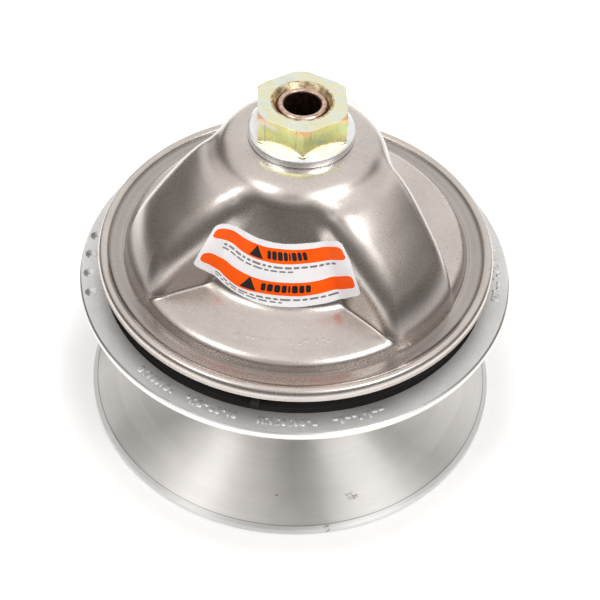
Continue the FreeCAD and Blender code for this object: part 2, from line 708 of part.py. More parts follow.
u0 = D["block_inner"]
u1 = D["block_inner"] + D["block_length"]
CORNERS = [[(u1, s_ * 10.0), (u1 + 1.0, s_ * 10.0), (u1 + 1.0, s_ * 19.5), (u1 - 2.35, s_ * 19.5)]
           for s_ in (1.0, -1.0)]
PINS = ((6.0, 103.0, 4.2), (4.5, 133.0, 2.8))
for i, az in enumerate(AZ):
    n = i + 1
    b = body("weight_block_%d" % n, azimuth=az)
    sk = sketch(b, "block_profile_%d" % n, "XZ_Plane", [[
        (u0, D["block_low"]), (u1, D["block_low"]), (u1, block_top(u1) - D["shoe_drop"]),
        (u0, block_top(u0) - D["shoe_drop"])]])
    p = pad(b, "block_blank_%d" % n, sk, D["block_half"] * 2.0, both=True)
    doc.recompute()
    vol = b.Shape.Volume
    # outer corners cut back to clear the channel's rounded end
    sk = sketch(b, "corner_plan_%d" % n, "XY_Plane", CORNERS, lift=170.0)
    pocket(b, "corner_cut_%d" % n, sk, 120.0)
    vol = cuts(vol, b, "block corners")
    # slot that straddles the guide rib, lined by the guide shoe
    sk = sketch(b, "block_slot_%d" % n, "YZ_Plane", [[
        (-10.0, D["block_low"] - 1.0), (10.0, D["block_low"] - 1.0),
        (10.0, D["rib_top"] + 2.0), (-10.0, D["rib_top"] + 2.0)]])
    pocket(b, "block_slot_cut_%d" % n, sk, 200.0, both=True)
    vol = cuts(vol, b, "block slot")
    # bores for the calibration pins
    sk = sketch(b, "pin_bores_%d" % n, "XZ_Plane", circles=[
        (u0 + du, z, r) for du, z, r in PINS])
    pocket(b, "pin_bores_cut_%d" % n, sk, 100.0, both=True)
    vol = cuts(vol, b, "pin bores")
    NODES.append(b)

    b = body("top_shoe_%d" % n, azimuth=az)
    sk = sketch(b, "top_shoe_profile_%d" % n, "XZ_Plane", [[
        (u0, block_top(u0) - D["shoe_drop"]), (u1, block_top(u1) - D["shoe_drop"]),
        (u1, block_top(u1)), (u0, block_top(u0))]])
    pad(b, "top_shoe_pad_%d" % n, sk, D["block_half"] * 2.0 - 1.0, both=True)
    doc.recompute()
    vol = b.Shape.Volume
    sk = sketch(b, "shoe_plan_%d" % n, "XY_Plane", CORNERS, lift=170.0)
    pocket(b, "shoe_corner_%d" % n, sk, 120.0)
    cuts(vol, b, "shoe corners")
    NODES.append(b)

    b = body("guide_shoe_%d" % n, azimuth=az)
    sk = sketch(b, "saddle_profile_%d" % n, "YZ_Plane", [[
        (-10.0, D["block_low"]), (-(D["rib_half"].v + 0.15), D["block_low"]),
        (-(D["rib_half"].v + 0.15), D["rib_top"] + 0.12), (D["rib_half"] + 0.15, D["rib_top"] + 0.12),
        (D["rib_half"] + 0.15, D["block_low"]), (10.0, D["block_low"]),
        (10.0, D["rib_top"] + 2.0), (-10.0, D["rib_top"] + 2.0)]], lift=u0)
    pad(b, "saddle_%d" % n, sk, D["block_length"])
    NODES.append(b)

    shoes = []
    for side in (-1, 1):
        s = doc.addObject("Part::Box", "side_shoe_%d_%s" % (n, "a" if side < 0 else "b"))
        drive(s, "Length", D["block_length"] - 3.6)
        drive(s, "Width", D["side_shoe"])
        s.Height = 15.0
        rot = Rot(V(0, 0, 1), az)
        y0 = D["block_half"].v if side > 0 else -D["block_half"].v - D["side_shoe"].v
        s.Placement = Place(rot.multVec(V(u0.v + 1.0, y0, D["block_low"].v + 30.0)), rot)
        shoes.append(s)
    solids_node("side_shoes_%d" % n, shoes)

    pins = []
    for k, (du, z, r) in enumerate(PINS):
        rot = Rot(V(0, 0, 1), az)
        c = cylinder("pin_%d_%d" % (n, k + 1), r, D["block_half"] * 2.0,
                     rot.multVec(V(u0.v + du, D["block_half"].v, z)), rot.multiply(Rot(V(1, 0, 0), 90)))
        pins.append(c)
    solids_node("block_pins_%d" % n, pins)

# ------------------------------------------------------------ check, export
doc.recompute()
bad = []
for o in doc.Objects:
    if "Invalid" in o.State or "Error" in o.State:
        bad.append("%s: %s" % (o.Name, o.State))
if bad:
    raise RuntimeError("failed features: " + "; ".join(bad))
for o in NODES:
    s = o.Shape
    if s.isNull() or not s.isValid() or s.Volume <= 0:
        raise RuntimeError("%s has no valid solid" % o.Label)
os.makedirs("parts", exist_ok=True)
for old in os.listdir("parts"):
    if old.endswith(".step"):
        os.remove(os.path.join("parts", old))
for o in NODES:
    s = o.Shape
    bb = s.BoundBox
    print("%-22s solids %d faces %3d vol %9.0f  x %.1f..%.1f y %.1f..%.1f z %.1f..%.1f" % (
        o.Label, len(s.Solids), len(s.Faces), s.Volume, bb.XMin, bb.XMax, bb.YMin, bb.YMax, bb.ZMin, bb.ZMax))
    s.exportStep(os.path.join("parts", o.Label + ".step"))
print("nodes", len(NODES))
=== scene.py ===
"""Looks of the drive clutch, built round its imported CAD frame."""

import math

import bmesh
import bpy
import numpy as np
from mathutils import Matrix, Vector
from mathutils.bvhtree import BVHTree


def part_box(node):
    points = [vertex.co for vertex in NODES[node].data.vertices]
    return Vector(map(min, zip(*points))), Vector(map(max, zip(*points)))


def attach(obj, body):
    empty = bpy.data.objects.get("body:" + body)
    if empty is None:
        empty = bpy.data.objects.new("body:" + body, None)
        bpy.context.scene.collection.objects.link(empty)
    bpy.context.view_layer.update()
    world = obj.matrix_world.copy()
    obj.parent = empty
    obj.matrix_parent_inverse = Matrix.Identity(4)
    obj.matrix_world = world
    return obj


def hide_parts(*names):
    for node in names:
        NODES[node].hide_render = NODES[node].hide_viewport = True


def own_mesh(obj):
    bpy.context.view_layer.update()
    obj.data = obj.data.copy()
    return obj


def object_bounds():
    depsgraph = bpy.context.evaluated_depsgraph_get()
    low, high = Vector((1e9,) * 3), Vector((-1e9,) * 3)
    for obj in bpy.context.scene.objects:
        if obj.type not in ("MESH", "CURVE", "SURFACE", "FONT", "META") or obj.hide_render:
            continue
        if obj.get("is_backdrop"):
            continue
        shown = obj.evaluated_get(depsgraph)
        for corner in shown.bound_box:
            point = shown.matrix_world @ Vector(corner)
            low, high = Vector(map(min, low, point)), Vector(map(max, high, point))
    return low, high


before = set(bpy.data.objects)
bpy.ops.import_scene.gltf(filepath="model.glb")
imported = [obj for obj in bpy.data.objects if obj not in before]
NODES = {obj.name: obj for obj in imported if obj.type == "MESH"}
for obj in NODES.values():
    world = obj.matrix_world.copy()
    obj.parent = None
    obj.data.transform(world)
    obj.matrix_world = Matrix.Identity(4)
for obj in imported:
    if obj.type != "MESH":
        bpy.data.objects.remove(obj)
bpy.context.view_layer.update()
scene = bpy.context.scene
MM = 0.001
LOBES = (-40.0, -160.0, 80.0)          # directions of the three channels, degrees
rng = np.random.default_rng(7)


# --------------------------------------------------------------------- nodes
class Graph:
    """A short way to write shader nodes."""

    def __init__(self, tree):
        self.t = tree
        tree.nodes.clear()

    def node(self, kind, **props):
        n = self.t.nodes.new(kind)
        for k, v in props.items():
            setattr(n, k, v)
        return n

    def put(self, socket, value):
        if isinstance(value, bpy.types.NodeSocket):
            self.t.links.new(value, socket)
        elif value is not None:
            if isinstance(value, (tuple, list)) and len(value) == 3 and socket.type == "RGBA":
                value = (*value, 1.0)
            socket.default_value = value

    def math(self, op, a, b=None, c=None, clamp=False):
        n = self.node("ShaderNodeMath", operation=op, use_clamp=clamp)
        for i, v in enumerate((a, b, c)):
            if v is not None:
                self.put(n.inputs[i], v)
        return n.outputs[0]

    def vmath(self, op, a, b=None, scale=None):
        n = self.node("ShaderNodeVectorMath", operation=op)
        self.put(n.inputs[0], a)
        if b is not None:
            self.put(n.inputs[1], b)
        if scale is not None:
            self.put(n.inputs["Scale"], scale)
        return n.outputs["Value"] if op in ("DOT_PRODUCT", "LENGTH", "DISTANCE") else n.outputs["Vector"]

    def obj(self):
        return self.node("ShaderNodeTexCoord").outputs["Object"]

    def split(self, v):
        n = self.node("ShaderNodeSeparateXYZ")
        self.put(n.inputs[0], v)
        return n.outputs[0], n.outputs[1], n.outputs[2]

    def join(self, x, y, z):
        n = self.node("ShaderNodeCombineXYZ")
        for i, v in enumerate((x, y, z)):
            self.put(n.inputs[i], v)
        return n.outputs[0]

    def radius(self, v):
        x, y, _ = self.split(v)
        return self.math("SQRT", self.math("ADD", self.math("MULTIPLY", x, x), self.math("MULTIPLY", y, y)))

    def noise(self, vec, scale, detail=2.0, rough=0.5, lac=2.0, dist=0.0):
        n = self.node("ShaderNodeTexNoise")
        self.put(n.inputs["Vector"], vec)
        self.put(n.inputs["Scale"], scale)
        self.put(n.inputs["Detail"], detail)
        self.put(n.inputs["Roughness"], rough)
        self.put(n.inputs["Lacunarity"], lac)
        self.put(n.inputs["Distortion"], dist)
        return n.outputs[0]

    def voronoi(self, vec, scale, feature="F1"):
        n = self.node("ShaderNodeTexVoronoi", feature=feature)
        self.put(n.inputs["Vector"], vec)
        self.put(n.inputs["Scale"], scale)
        return n.outputs["Distance"]

    def smooth(self, v, lo, hi, a=0.0, b=1.0):
        n = self.node("ShaderNodeMapRange", interpolation_type="SMOOTHSTEP")
        for k, x in (("Value", v), ("From Min", lo), ("From Max", hi), ("To Min", a), ("To Max", b)):
            self.put(n.inputs[k], x)
        return n.outputs[0]

    def linear(self, v, lo, hi, a=0.0, b=1.0):
        n = self.node("ShaderNodeMapRange")
        for k, x in (("Value", v), ("From Min", lo), ("From Max", hi), ("To Min", a), ("To Max", b)):
            self.put(n.inputs[k], x)
        return n.outputs[0]

    def ramp(self, fac, stops, mode="LINEAR"):
        n = self.node("ShaderNodeValToRGB")
        n.color_ramp.interpolation = mode
        e = n.color_ramp.elements
        while len(e) < len(stops):
            e.new(0.5)
        for el, (p, c) in zip(e, stops):
            el.position = p
            el.color = (*c, 1.0) if len(c) == 3 else c
        self.put(n.inputs[0], fac)
        return n.outputs[0]

    def mix(self, fac, a, b, blend="MIX"):
        n = self.node("ShaderNodeMix", data_type="RGBA", blend_type=blend)
        self.put(n.inputs["Factor"], fac)
        self.put(n.inputs[6], a)
        self.put(n.inputs[7], b)
        return n.outputs[2]

    def mixf(self, fac, a, b):
        n = self.node("ShaderNodeMix", data_type="FLOAT")
        self.put(n.inputs[0], fac)
        self.put(n.inputs[2], a)
        self.put(n.inputs[3], b)
        return n.outputs[0]

    def bump(self, height, strength, distance, normal=None):
        n = self.node("ShaderNodeBump")
        self.put(n.inputs["Strength"], strength)
        self.put(n.inputs["Distance"], distance)
        self.put(n.inputs["Height"], height)
        if normal is not None:
            self.put(n.inputs["Normal"], normal)
        return n.outputs[0]


def material(name, build):
    m = bpy.data.materials.new(name)
    m.use_nodes = True
    g = Graph(m.node_tree)
    out = g.node("ShaderNodeOutputMaterial")
    b = g.node("ShaderNodeBsdfPrincipled")
    m.node_tree.links.new(b.outputs[0], out.inputs[0])
    build(g, b)
    return m


def scaled(g, p, sx, sy, sz):
    return g.vmath("MULTIPLY", p, (sx, sy, sz))


# ----------------------------------------------------------------- materials
def m_cover(g, b):
    """Pressed steel, vibratory finished: fine grain, slight mottling, a few rub marks."""
    p = g.obj()
    grain = g.noise(p, 1500.0, 3.0, 0.65)
    fleck = g.noise(p, 620.0, 2.0, 0.6)
    cloud = g.noise(p, 46.0, 3.0, 0.55)
    broad = g.noise(p, 17.0, 2.0, 0.5)
    base = g.ramp(cloud, [(0.30, (0.545, 0.500, 0.466)), (0.70, (0.635, 0.588, 0.553))])
    base = g.mix(g.smooth(fleck, 0.36, 0.66, 0.0, 0.35), base, (0.665, 0.625, 0.595))
    base = g.mix(g.smooth(grain, 0.60, 0.80, 0.0, 0.30), base, (0.360, 0.325, 0.300))
    pits = g.smooth(g.voronoi(p, 230.0), 0.16, 0.05, 0.0, 0.45)
    pits = g.math("MULTIPLY", pits, g.smooth(g.noise(p, 60.0, 1.0), 0.55, 0.68))
    base = g.mix(pits, base, (0.215, 0.190, 0.170))
    x, y, z = g.split(p)
    rad = g.radius(p)
    streak = g.noise(g.join(rad, g.math("MULTIPLY", z, 0.5), 0.2), 900.0, 3.0, 0.65)
    low = g.smooth(z, 0.0965, 0.0955)
    shelf = g.math("MULTIPLY", low, g.math("MULTIPLY", g.smooth(rad, 0.0802, 0.0810), g.smooth(rad, 0.0884, 0.0876)))
    base = g.mix(g.math("MULTIPLY", shelf, g.linear(streak, 0.3, 0.7, 0.42, 0.78)), base, (0.300, 0.275, 0.258))
    # the channels' ends are painted darker than their crests: painted shade that tones down their reflection
    ends = g.math("MULTIPLY", g.smooth(z, 0.0985, 0.1015), g.smooth(rad, 0.0715, 0.0765))
    base = g.mix(g.math("MULTIPLY", ends, 0.80), base, (0.270, 0.250, 0.238))
    # a dark line painted along the groove's crease: painted shade
    crease = g.math("MULTIPLY", low, g.math("MULTIPLY", g.smooth(rad, 0.0869, 0.0880), g.smooth(rad, 0.0893, 0.0883)))
    base = g.mix(g.math("MULTIPLY", crease, 0.60), base, (0.120, 0.105, 0.095))
    g.put(b.inputs["Base Color"], base)
    g.put(b.inputs["Metallic"], 1.0)
    r = g.mixf(cloud, 0.235, 0.285)
    r = g.math("ADD", r, g.linear(grain, 0.3, 0.7, -0.020, 0.03))
    r = g.math("ADD", r, g.linear(broad, 0.3, 0.7, -0.02, 0.03))
    g.put(b.inputs["Roughness"], r)
    n = g.bump(grain, 0.035, 0.00010)
    g.put(b.inputs["Normal"], n)


def m_machined(g, b):
    """Turned aluminium: concentric tool lines with the radial sheen they give, sectors round the axis painted
    lighter and darker as painted highlights, a dark line and a bright band at the rim, a few scuffs."""
    p = g.obj()
    x, y, z = g.split(p)
    r = g.radius(p)
    line = g.noise(g.join(r, z, 0.0), 1700.0, 3.0, 0.7)
    wide = g.noise(g.join(r, g.math("MULTIPLY", z, 0.6), 0.3), 150.0, 2.0, 0.5)
    cloud = g.noise(p, 26.0, 2.0, 0.5)
    ang = g.math("DIVIDE", g.math("ARCTAN2", y, x), 2 * math.pi)
    ang = g.math("ADD", g.math("ADD", ang, 0.5), g.linear(cloud, 0.3, 0.7, -0.012, 0.012))
    # sectors round the axis painted lighter and darker: painted highlights on the turned face
    painted_highlight_sectors = g.ramp(ang, [(0.000, (0.92,) * 3), (0.028, (1.10,) * 3), (0.061, (0.92,) * 3), (0.085, (0.72,) * 3), (0.100, (0.69,) * 3),
                          (0.128, (0.98,) * 3), (0.148, (1.14,) * 3), (0.215, (1.14,) * 3), (0.230, (1.10,) * 3), (0.246, (0.94,) * 3),
                          (0.262, (0.78,) * 3), (0.280, (0.75,) * 3), (0.300, (0.88,) * 3), (0.325, (0.97,) * 3), (0.350, (1.04,) * 3),
                          (0.372, (0.84,) * 3), (0.392, (0.76,) * 3), (0.412, (0.88,) * 3), (0.445, (1.06,) * 3), (0.470, (1.13,) * 3),
                          (0.560, (0.92,) * 3), (0.660, (1.02,) * 3), (0.760, (0.80,) * 3), (0.880, (0.92,) * 3), (1.000, (0.92,) * 3)])
    base = g.ramp(wide, [(0.25, (0.770, 0.755, 0.735)), (0.75, (0.850, 0.842, 0.830))])
    base = g.mix(g.smooth(line, 0.35, 0.75, 0.0, 0.30), base, (0.63, 0.61, 0.59))
    base = g.vmath("MULTIPLY", base, painted_highlight_sectors)
    edge = g.math("MULTIPLY", g.smooth(r, 0.1004, 0.1006), g.smooth(r, 0.1011, 0.1009))
    base = g.mix(g.math("MULTIPLY", edge, 0.55), base, (0.16, 0.14, 0.13))
    base = g.mix(g.smooth(r, 0.1012, 0.1014), base, (0.80, 0.80, 0.80))
    blot = g.noise(p, 900.0, 3.0, 0.6)
    for sx, sy, size in ((0.0318, -0.0840, 0.0042), (0.0205, -0.1002, 0.0024), (-0.0040, -0.0860, 0.0011),
                         (-0.0560, 0.0700, 0.0036), (0.0900, 0.0300, 0.0026)):
        d = g.vmath("LENGTH", g.vmath("SUBTRACT", g.join(x, g.math("MULTIPLY", y, 1.7), 0.0), (sx, sy * 1.7, 0.0)))
        m = g.math("MULTIPLY", g.smooth(d, size, size * 0.45), g.smooth(blot, 0.46, 0.58))
        base = g.mix(g.math("MULTIPLY", m, 0.75), base, (0.20, 0.17, 0.14))
    g.put(b.inputs["Base Color"], base)
    g.put(b.inputs["Metallic"], 1.0)
    rough = g.mixf(g.smooth(wide, 0.3, 0.7), 0.43, 0.49)
    rough = g.math("ADD", rough, g.linear(line, 0.3, 0.7, -0.03, 0.04))
    g.put(b.inputs["Roughness"], rough)
    b.inputs["Anisotropic"].default_value = 0.96
    b.inputs["Anisotropic Rotation"].default_value = 0.25
    tan = g.node("ShaderNodeTangent", direction_type="RADIAL", axis="Z")
    g.put(b.inputs["Tangent"], tan.outputs[0])
    n = g.bump(line, 0.12, 0.00008)
    n = g.bump(wide, 0.03, 0.0004, n)
    g.put(b.inputs["Normal"], n)


def m_cast(g, b):
    """The sliding half: cast land with blasted skin, machined rim band and cone face."""
    p = g.obj()
    x, y, z = g.split(p)
    r = g.radius(p)
    grain = g.noise(p, 1100.0, 4.0, 0.7)
    lump = g.noise(p, 260.0, 2.0, 0.55)
    cloud = g.noise(p, 34.0, 3.0, 0.55)
    line = g.noise(g.join(r, z, 0.0), 1900.0, 3.0, 0.7)
    cast_c = g.ramp(cloud, [(0.28, (0.680, 0.680, 0.678)), (0.72, (0.790, 0.790, 0.788))])
    cast_c = g.mix(g.smooth(grain, 0.50, 0.75, 0.0, 0.40), cast_c, (0.46, 0.45, 0.44))
    mach_c = g.ramp(line, [(0.25, (0.66, 0.65, 0.64)), (0.75, (0.78, 0.775, 0.77))])
    # machined below the land and on the outermost band
    mach = g.math("MAXIMUM", g.smooth(z, 0.0776, 0.0772), g.smooth(r, 0.1020, 0.1024))
    base = g.mix(mach, cast_c, mach_c)
    # the dish inside the land is painted near-black and not metallic: painted shade in the gap under the cover
    above = g.math("SUBTRACT", z, g.math("ADD", 0.0646, g.math("MULTIPLY", g.math("SUBTRACT", r, 0.034), 0.178)))
    dish_shade = g.math("MULTIPLY", g.math("MULTIPLY", g.smooth(above, -0.0003, 0.0003), g.smooth(r, 0.0917, 0.0911)),
                  g.smooth(r, 0.070, 0.082, 0.0, 0.94))
    base = g.mix(dish_shade, base, (0.012, 0.010, 0.009))
    g.put(b.inputs["Base Color"], base)
    g.put(b.inputs["Metallic"], g.math("SUBTRACT", 1.0, dish_shade))
    rc = g.math("ADD", g.mixf(cloud, 0.50, 0.60), g.linear(grain, 0.3, 0.7, -0.03, 0.05))
    rm = g.linear(line, 0.3, 0.7, 0.22, 0.32)
    g.put(b.inputs["Roughness"], g.mixf(mach, rc, rm))
    hc = g.math("MULTIPLY", g.math("ADD", grain, g.math("MULTIPLY", lump, 1.4)), g.math("SUBTRACT", 1.0, mach))
    n = g.bump(hc, 0.26, 0.00022)
    hm = g.math("MULTIPLY", line, mach)
    n = g.bump(hm, 0.12, 0.00008, n)
    g.put(b.inputs["Normal"], n)


def m_shaft(g, b):
    """Ground steel; the tube's end ring is bronze pink with heat tint, its bore brown and dull."""
    p = g.obj()
    x, y, z = g.split(p)
    r = g.radius(p)
    line = g.noise(g.join(0.0, 0.0, z), 1400.0, 2.0, 0.6)
    mott = g.noise(p, 420.0, 3.0, 0.6)
    steel = g.ramp(line, [(0.3, (0.50, 0.49, 0.48)), (0.7, (0.60, 0.59, 0.58))])
    ring = g.ramp(mott, [(0.30, (0.42, 0.27, 0.22)), (0.55, (0.66, 0.47, 0.40)), (0.75, (0.80, 0.68, 0.60))])
    rust = g.ramp(mott, [(0.30, (0.045, 0.028, 0.020)), (0.60, (0.120, 0.070, 0.048)), (0.80, (0.26, 0.17, 0.12))])
    base = g.mix(g.smooth(z, 0.150, 0.154), steel, ring)
    base = g.mix(g.smooth(r, 0.0086, 0.0082), base, rust)
    g.put(b.inputs["Base Color"], base)
    g.put(b.inputs["Metallic"], 1.0)
    rough = g.math("ADD", g.mixf(g.smooth(r, 0.0086, 0.0082), 0.30, 0.48), g.linear(mott, 0.3, 0.7, -0.05, 0.08))
    g.put(b.inputs["Roughness"], rough)
    g.put(b.inputs["Normal"], g.bump(mott, 0.15, 0.0001))


def m_yellow(g, b):
    """Yellow chromate over zinc: pale iridescent film, pinkish and blue-green on the top face,
    olive to gold down the flats, orange on the chamfered corners."""
    p = g.obj()
    x, y, z = g.split(p)
    r = g.radius(p)
    film = g.noise(p, 78.0, 1.0, 0.4, dist=0.6)
    tint = g.noise(g.vmath("ADD", p, (0.7, 0.2, 0.1)), 88.0, 2.0, 0.5, dist=1.0)
    soft = g.noise(g.vmath("ADD", p, (0.3, 0.9, 0.5)), 300.0, 2.0, 0.5)
    fine = g.noise(p, 1300.0, 3.0, 0.6)
    top = g.ramp(film, [(0.28, (0.68, 0.78, 0.72)), (0.42, (0.80, 0.84, 0.70)), (0.55, (0.82, 0.80, 0.56)),
                        (0.68, (0.76, 0.82, 0.76)), (0.82, (0.82, 0.78, 0.84))])
    top = g.mix(g.smooth(tint, 0.60, 0.72, 0.0, 0.80), top, (0.82, 0.62, 0.58))
    top = g.mix(g.smooth(tint, 0.40, 0.28, 0.0, 0.55), top, (0.74, 0.72, 0.40))
    # the flats: olive above, golden then nearly white at the foot
    down = g.linear(z, 0.1764, 0.1640)
    flat = g.ramp(g.math("ADD", down, g.linear(tint, 0.2, 0.8, -0.16, 0.16)), [
        (0.05, (0.62, 0.56, 0.22)), (0.30, (0.52, 0.56, 0.26)), (0.52, (0.66, 0.66, 0.26)),
        (0.78, (0.84, 0.78, 0.36)), (1.0, (0.90, 0.84, 0.52))])
    flat = g.mix(g.smooth(film, 0.58, 0.76, 0.0, 0.70), flat, (0.74, 0.66, 0.70))
    flat = g.mix(g.smooth(film, 0.40, 0.30, 0.0, 0.60), flat, (0.48, 0.66, 0.58))
    side = g.smooth(z, 0.17725, 0.17705)
    base = g.mix(side, top, flat)
    # chamfered corners
    corner = g.math("MULTIPLY", g.smooth(r, 0.0200, 0.0207), g.smooth(z, 0.1750, 0.1760))
    base = g.mix(g.math("MULTIPLY", corner, 0.8), base, (0.80, 0.46, 0.26))
    base = g.mix(g.smooth(soft, 0.60, 0.78, 0.0, 0.22), base, (0.86, 0.84, 0.76))
    base = g.mix(g.smooth(fine, 0.66, 0.80, 0.0, 0.16), base, (0.40, 0.36, 0.20))
    # rub marks either side of each corner, bright on top and brown inside
    ang = g.math("ARCTAN2", y, x)
    turn = g.math("DIVIDE", g.math("ADD", ang, math.radians(87.0 + 360.0)), math.radians(60.0))
    near = g.math("MULTIPLY", g.math("ABSOLUTE", g.math("SUBTRACT", turn, g.math("ROUND", turn))), 60.0)
    scuff = g.math("MULTIPLY", g.smooth(g.math("ABSOLUTE", g.math("SUBTRACT", near, 8.6)), 0.75, 0.25),
                   g.smooth(g.noise(scaled(g, p, 1.0, 1.0, 0.4), 260.0, 2.0, 0.6), 0.44, 0.60))
    scuff = g.math("MULTIPLY", g.math("MULTIPLY", scuff, side), g.smooth(r, 0.0190, 0.0192))
    base = g.mix(g.math("MULTIPLY", scuff, 0.65), base, (0.26, 0.23, 0.18))
    cone = g.math("MULTIPLY", g.smooth(r, 0.0139, 0.0135), g.smooth(z, 0.1700, 0.1722))
    inner = g.ramp(g.noise(scaled(g, p, 1.0, 1.0, 2.5), 420.0, 3.0, 0.6), [
        (0.30, (0.22, 0.13, 0.06)), (0.48, (0.54, 0.42, 0.22)), (0.62, (0.78, 0.68, 0.52)), (0.75, (0.90, 0.84, 0.76))])
    base = g.mix(cone, base, inner)
    g.put(b.inputs["Base Color"], base)
    g.put(b.inputs["Metallic"], 1.0)
    mach = g.noise(scaled(g, p, 1.0, 1.0, 0.25), 900.0, 2.0, 0.5)
    g.put(b.inputs["Roughness"], g.math("ADD", g.linear(film, 0.3, 0.7, 0.24, 0.32), g.linear(mach, 0.3, 0.7, -0.02, 0.03)))
    n = g.bump(mach, 0.07, 0.0001)
    n = g.bump(fine, 0.05, 0.00006, n)
    g.put(b.inputs["Normal"], n)


def m_zinc(g, b):
    """Bright zinc washer with faint blue cast and turning marks."""
    p = g.obj()
    r = g.radius(p)
    x, y, z = g.split(p)
    ring = g.noise(g.join(r, 0.0, z), 1500.0, 2.0, 0.6)
    mott = g.noise(p, 240.0, 3.0, 0.6)
    base = g.ramp(mott, [(0.3, (0.78, 0.81, 0.84)), (0.7, (0.92, 0.93, 0.94))])
    base = g.mix(g.smooth(g.noise(p, 900.0, 2.0), 0.62, 0.8, 0.0, 0.3), base, (0.45, 0.45, 0.46))
    g.put(b.inputs["Base Color"], base)
    g.put(b.inputs["Metallic"], 1.0)
    g.put(b.inputs["Roughness"], g.math("ADD", 0.24, g.linear(ring, 0.3, 0.7, -0.03, 0.08)))
    g.put(b.inputs["Normal"], g.bump(ring, 0.12, 0.0001))


def simple_metal(lo, hi, rough, scale=500.0, strength=0.15, aniso=None):
    def build(g, b):
        p = g.obj()
        a = g.noise(p, scale, 3.0, 0.6)
        c = g.noise(p, scale * 0.08, 2.0, 0.5)
        base = g.ramp(a, [(0.3, lo), (0.7, hi)])
        base = g.mix(g.smooth(c, 0.5, 0.75, 0.0, 0.35), base, lo)
        g.put(b.inputs["Base Color"], base)
        g.put(b.inputs["Metallic"], 1.0)
        g.put(b.inputs["Roughness"], g.math("ADD", rough, g.linear(a, 0.3, 0.7, -0.04, 0.06)))
        g.put(b.inputs["Normal"], g.bump(a, strength, 0.0001))
    return build


def plastic(lo, hi, rough):
    def build(g, b):
        p = g.obj()
        a = g.noise(p, 700.0, 3.0, 0.6)
        c = g.noise(p, 60.0, 2.0, 0.5)
        base = g.mix(g.smooth(c, 0.3, 0.7), lo, hi)
        g.put(b.inputs["Base Color"], base)
        g.put(b.inputs["Roughness"], g.math("ADD", rough, g.linear(a, 0.3, 0.7, -0.05, 0.08)))
        g.put(b.inputs["Normal"], g.bump(a, 0.12, 0.0001))
    return build


def film(lo, hi, rough, glow, gloss=0.5):
    """Printed film; glow is a painted glow: emission in the film's own colour that lifts the white and the orange."""
    def build(g, b):
        p = g.obj()
        a = g.noise(p, 1300.0, 3.0, 0.6)
        c = g.noise(p, 90.0, 2.0, 0.5)
        base = g.mix(g.smooth(c, 0.3, 0.7), lo, hi)
        g.put(b.inputs["Base Color"], base)
        # painted glow: the film emits light in its own colour
        if glow:
            g.put(b.inputs["Emission Color"], base)
            b.inputs["Emission Strength"].default_value = glow
        b.inputs["Specular IOR Level"].default_value = gloss
        g.put(b.inputs["Roughness"], g.math("ADD", rough, g.linear(a, 0.3, 0.7, -0.04, 0.06)))
        g.put(b.inputs["Normal"], g.bump(a, 0.06, 0.00006))
    return build


MAT = {
    "machined_aluminium": material("machined_aluminium_look", m_machined),
    "cast_aluminium": material("cast_aluminium_look", m_cast),
    "shaft_steel": material("shaft_steel_look", m_shaft),
    "pressed_steel": material("pressed_steel_look", m_cover),
    "yellow_plate": material("yellow_plate_look", m_yellow),
    "zinc_plate": material("zinc_plate_look", m_zinc),
    "bushing_bronze": material("bushing_bronze_look", simple_metal((0.42, 0.25, 0.12), (0.62, 0.42, 0.24), 0.34)),
    "plain_steel": material("plain_steel_look", simple_metal((0.36, 0.35, 0.34), (0.52, 0.51, 0.50), 0.36)),
    "spring_steel": material("spring_steel_look", simple_metal((0.16, 0.17, 0.19), (0.30, 0.31, 0.33), 0.38)),
    "block_metal": material("block_metal_look", simple_metal((0.46, 0.45, 0.44), (0.60, 0.59, 0.58), 0.42, 900.0, 0.25)),
    "ramp_plastic": material("ramp_plastic_look", plastic((0.020, 0.020, 0.022), (0.035, 0.035, 0.038), 0.42)),
    "shoe_plastic": material("shoe_plastic_look", plastic((0.62, 0.58, 0.46), (0.72, 0.68, 0.56), 0.45)),
    "label_film": material("label_film_look", film((0.90, 0.90, 0.92), (0.95, 0.95, 0.97), 0.30, 0.13)),
    "label_orange": material("label_orange_look", film((1.0, 0.098, 0.001), (1.0, 0.122, 0.002), 0.34, 0.17, 0.22)),
    "label_black": material("label_black_look", film((0.008, 0.006, 0.006), (0.016, 0.012, 0.012), 0.45, 0.0)),
    "label_grey": material("label_grey_look", film((0.20, 0.19, 0.19), (0.30, 0.29, 0.29), 0.40, 0.0)),
}
for name, o in NODES.items():
    for s in o.material_slots:
        base = s.material.name.split(".")[0]
        if base in MAT:
            s.material = MAT[base]


# ------------------------------------------------------------------- helpers
def new_mesh(name, verts, faces, mats, smooth=True, face_mats=None, sharp=None):
    me = bpy.data.meshes.new(name)
    me.from_pydata([tuple(v) for v in verts], [], [tuple(f) for f in faces])
    me.validate()
    for m in mats:
        me.materials.append(m)
    if face_mats is not None:
        me.polygons.foreach_set("material_index", np.asarray(face_mats, np.int32))
    me.polygons.foreach_set("use_smooth", [smooth] * len(me.polygons))
    if sharp is not None:
        me.set_sharp_from_angle(angle=math.radians(sharp))
    me.update()
    o = bpy.data.objects.new(name, me)
    scene.collection.objects.link(o)
    return o


def grid_faces(n_rows, n_cols, closed_cols=True, flip=False, offset=0):
    """Quads between neighbouring rows of a grid stored row by row."""
    cols = np.arange(n_cols if closed_cols else n_cols - 1)
    nxt = (cols + 1) % n_cols
    out = []
    for i in range(n_rows - 1):
        a = offset + i * n_cols
        b = a + n_cols
        q = np.stack([a + cols, a + nxt, b + nxt, b + cols], 1)
        out.append(q[:, ::-1] if flip else q)
    return np.concatenate(out)


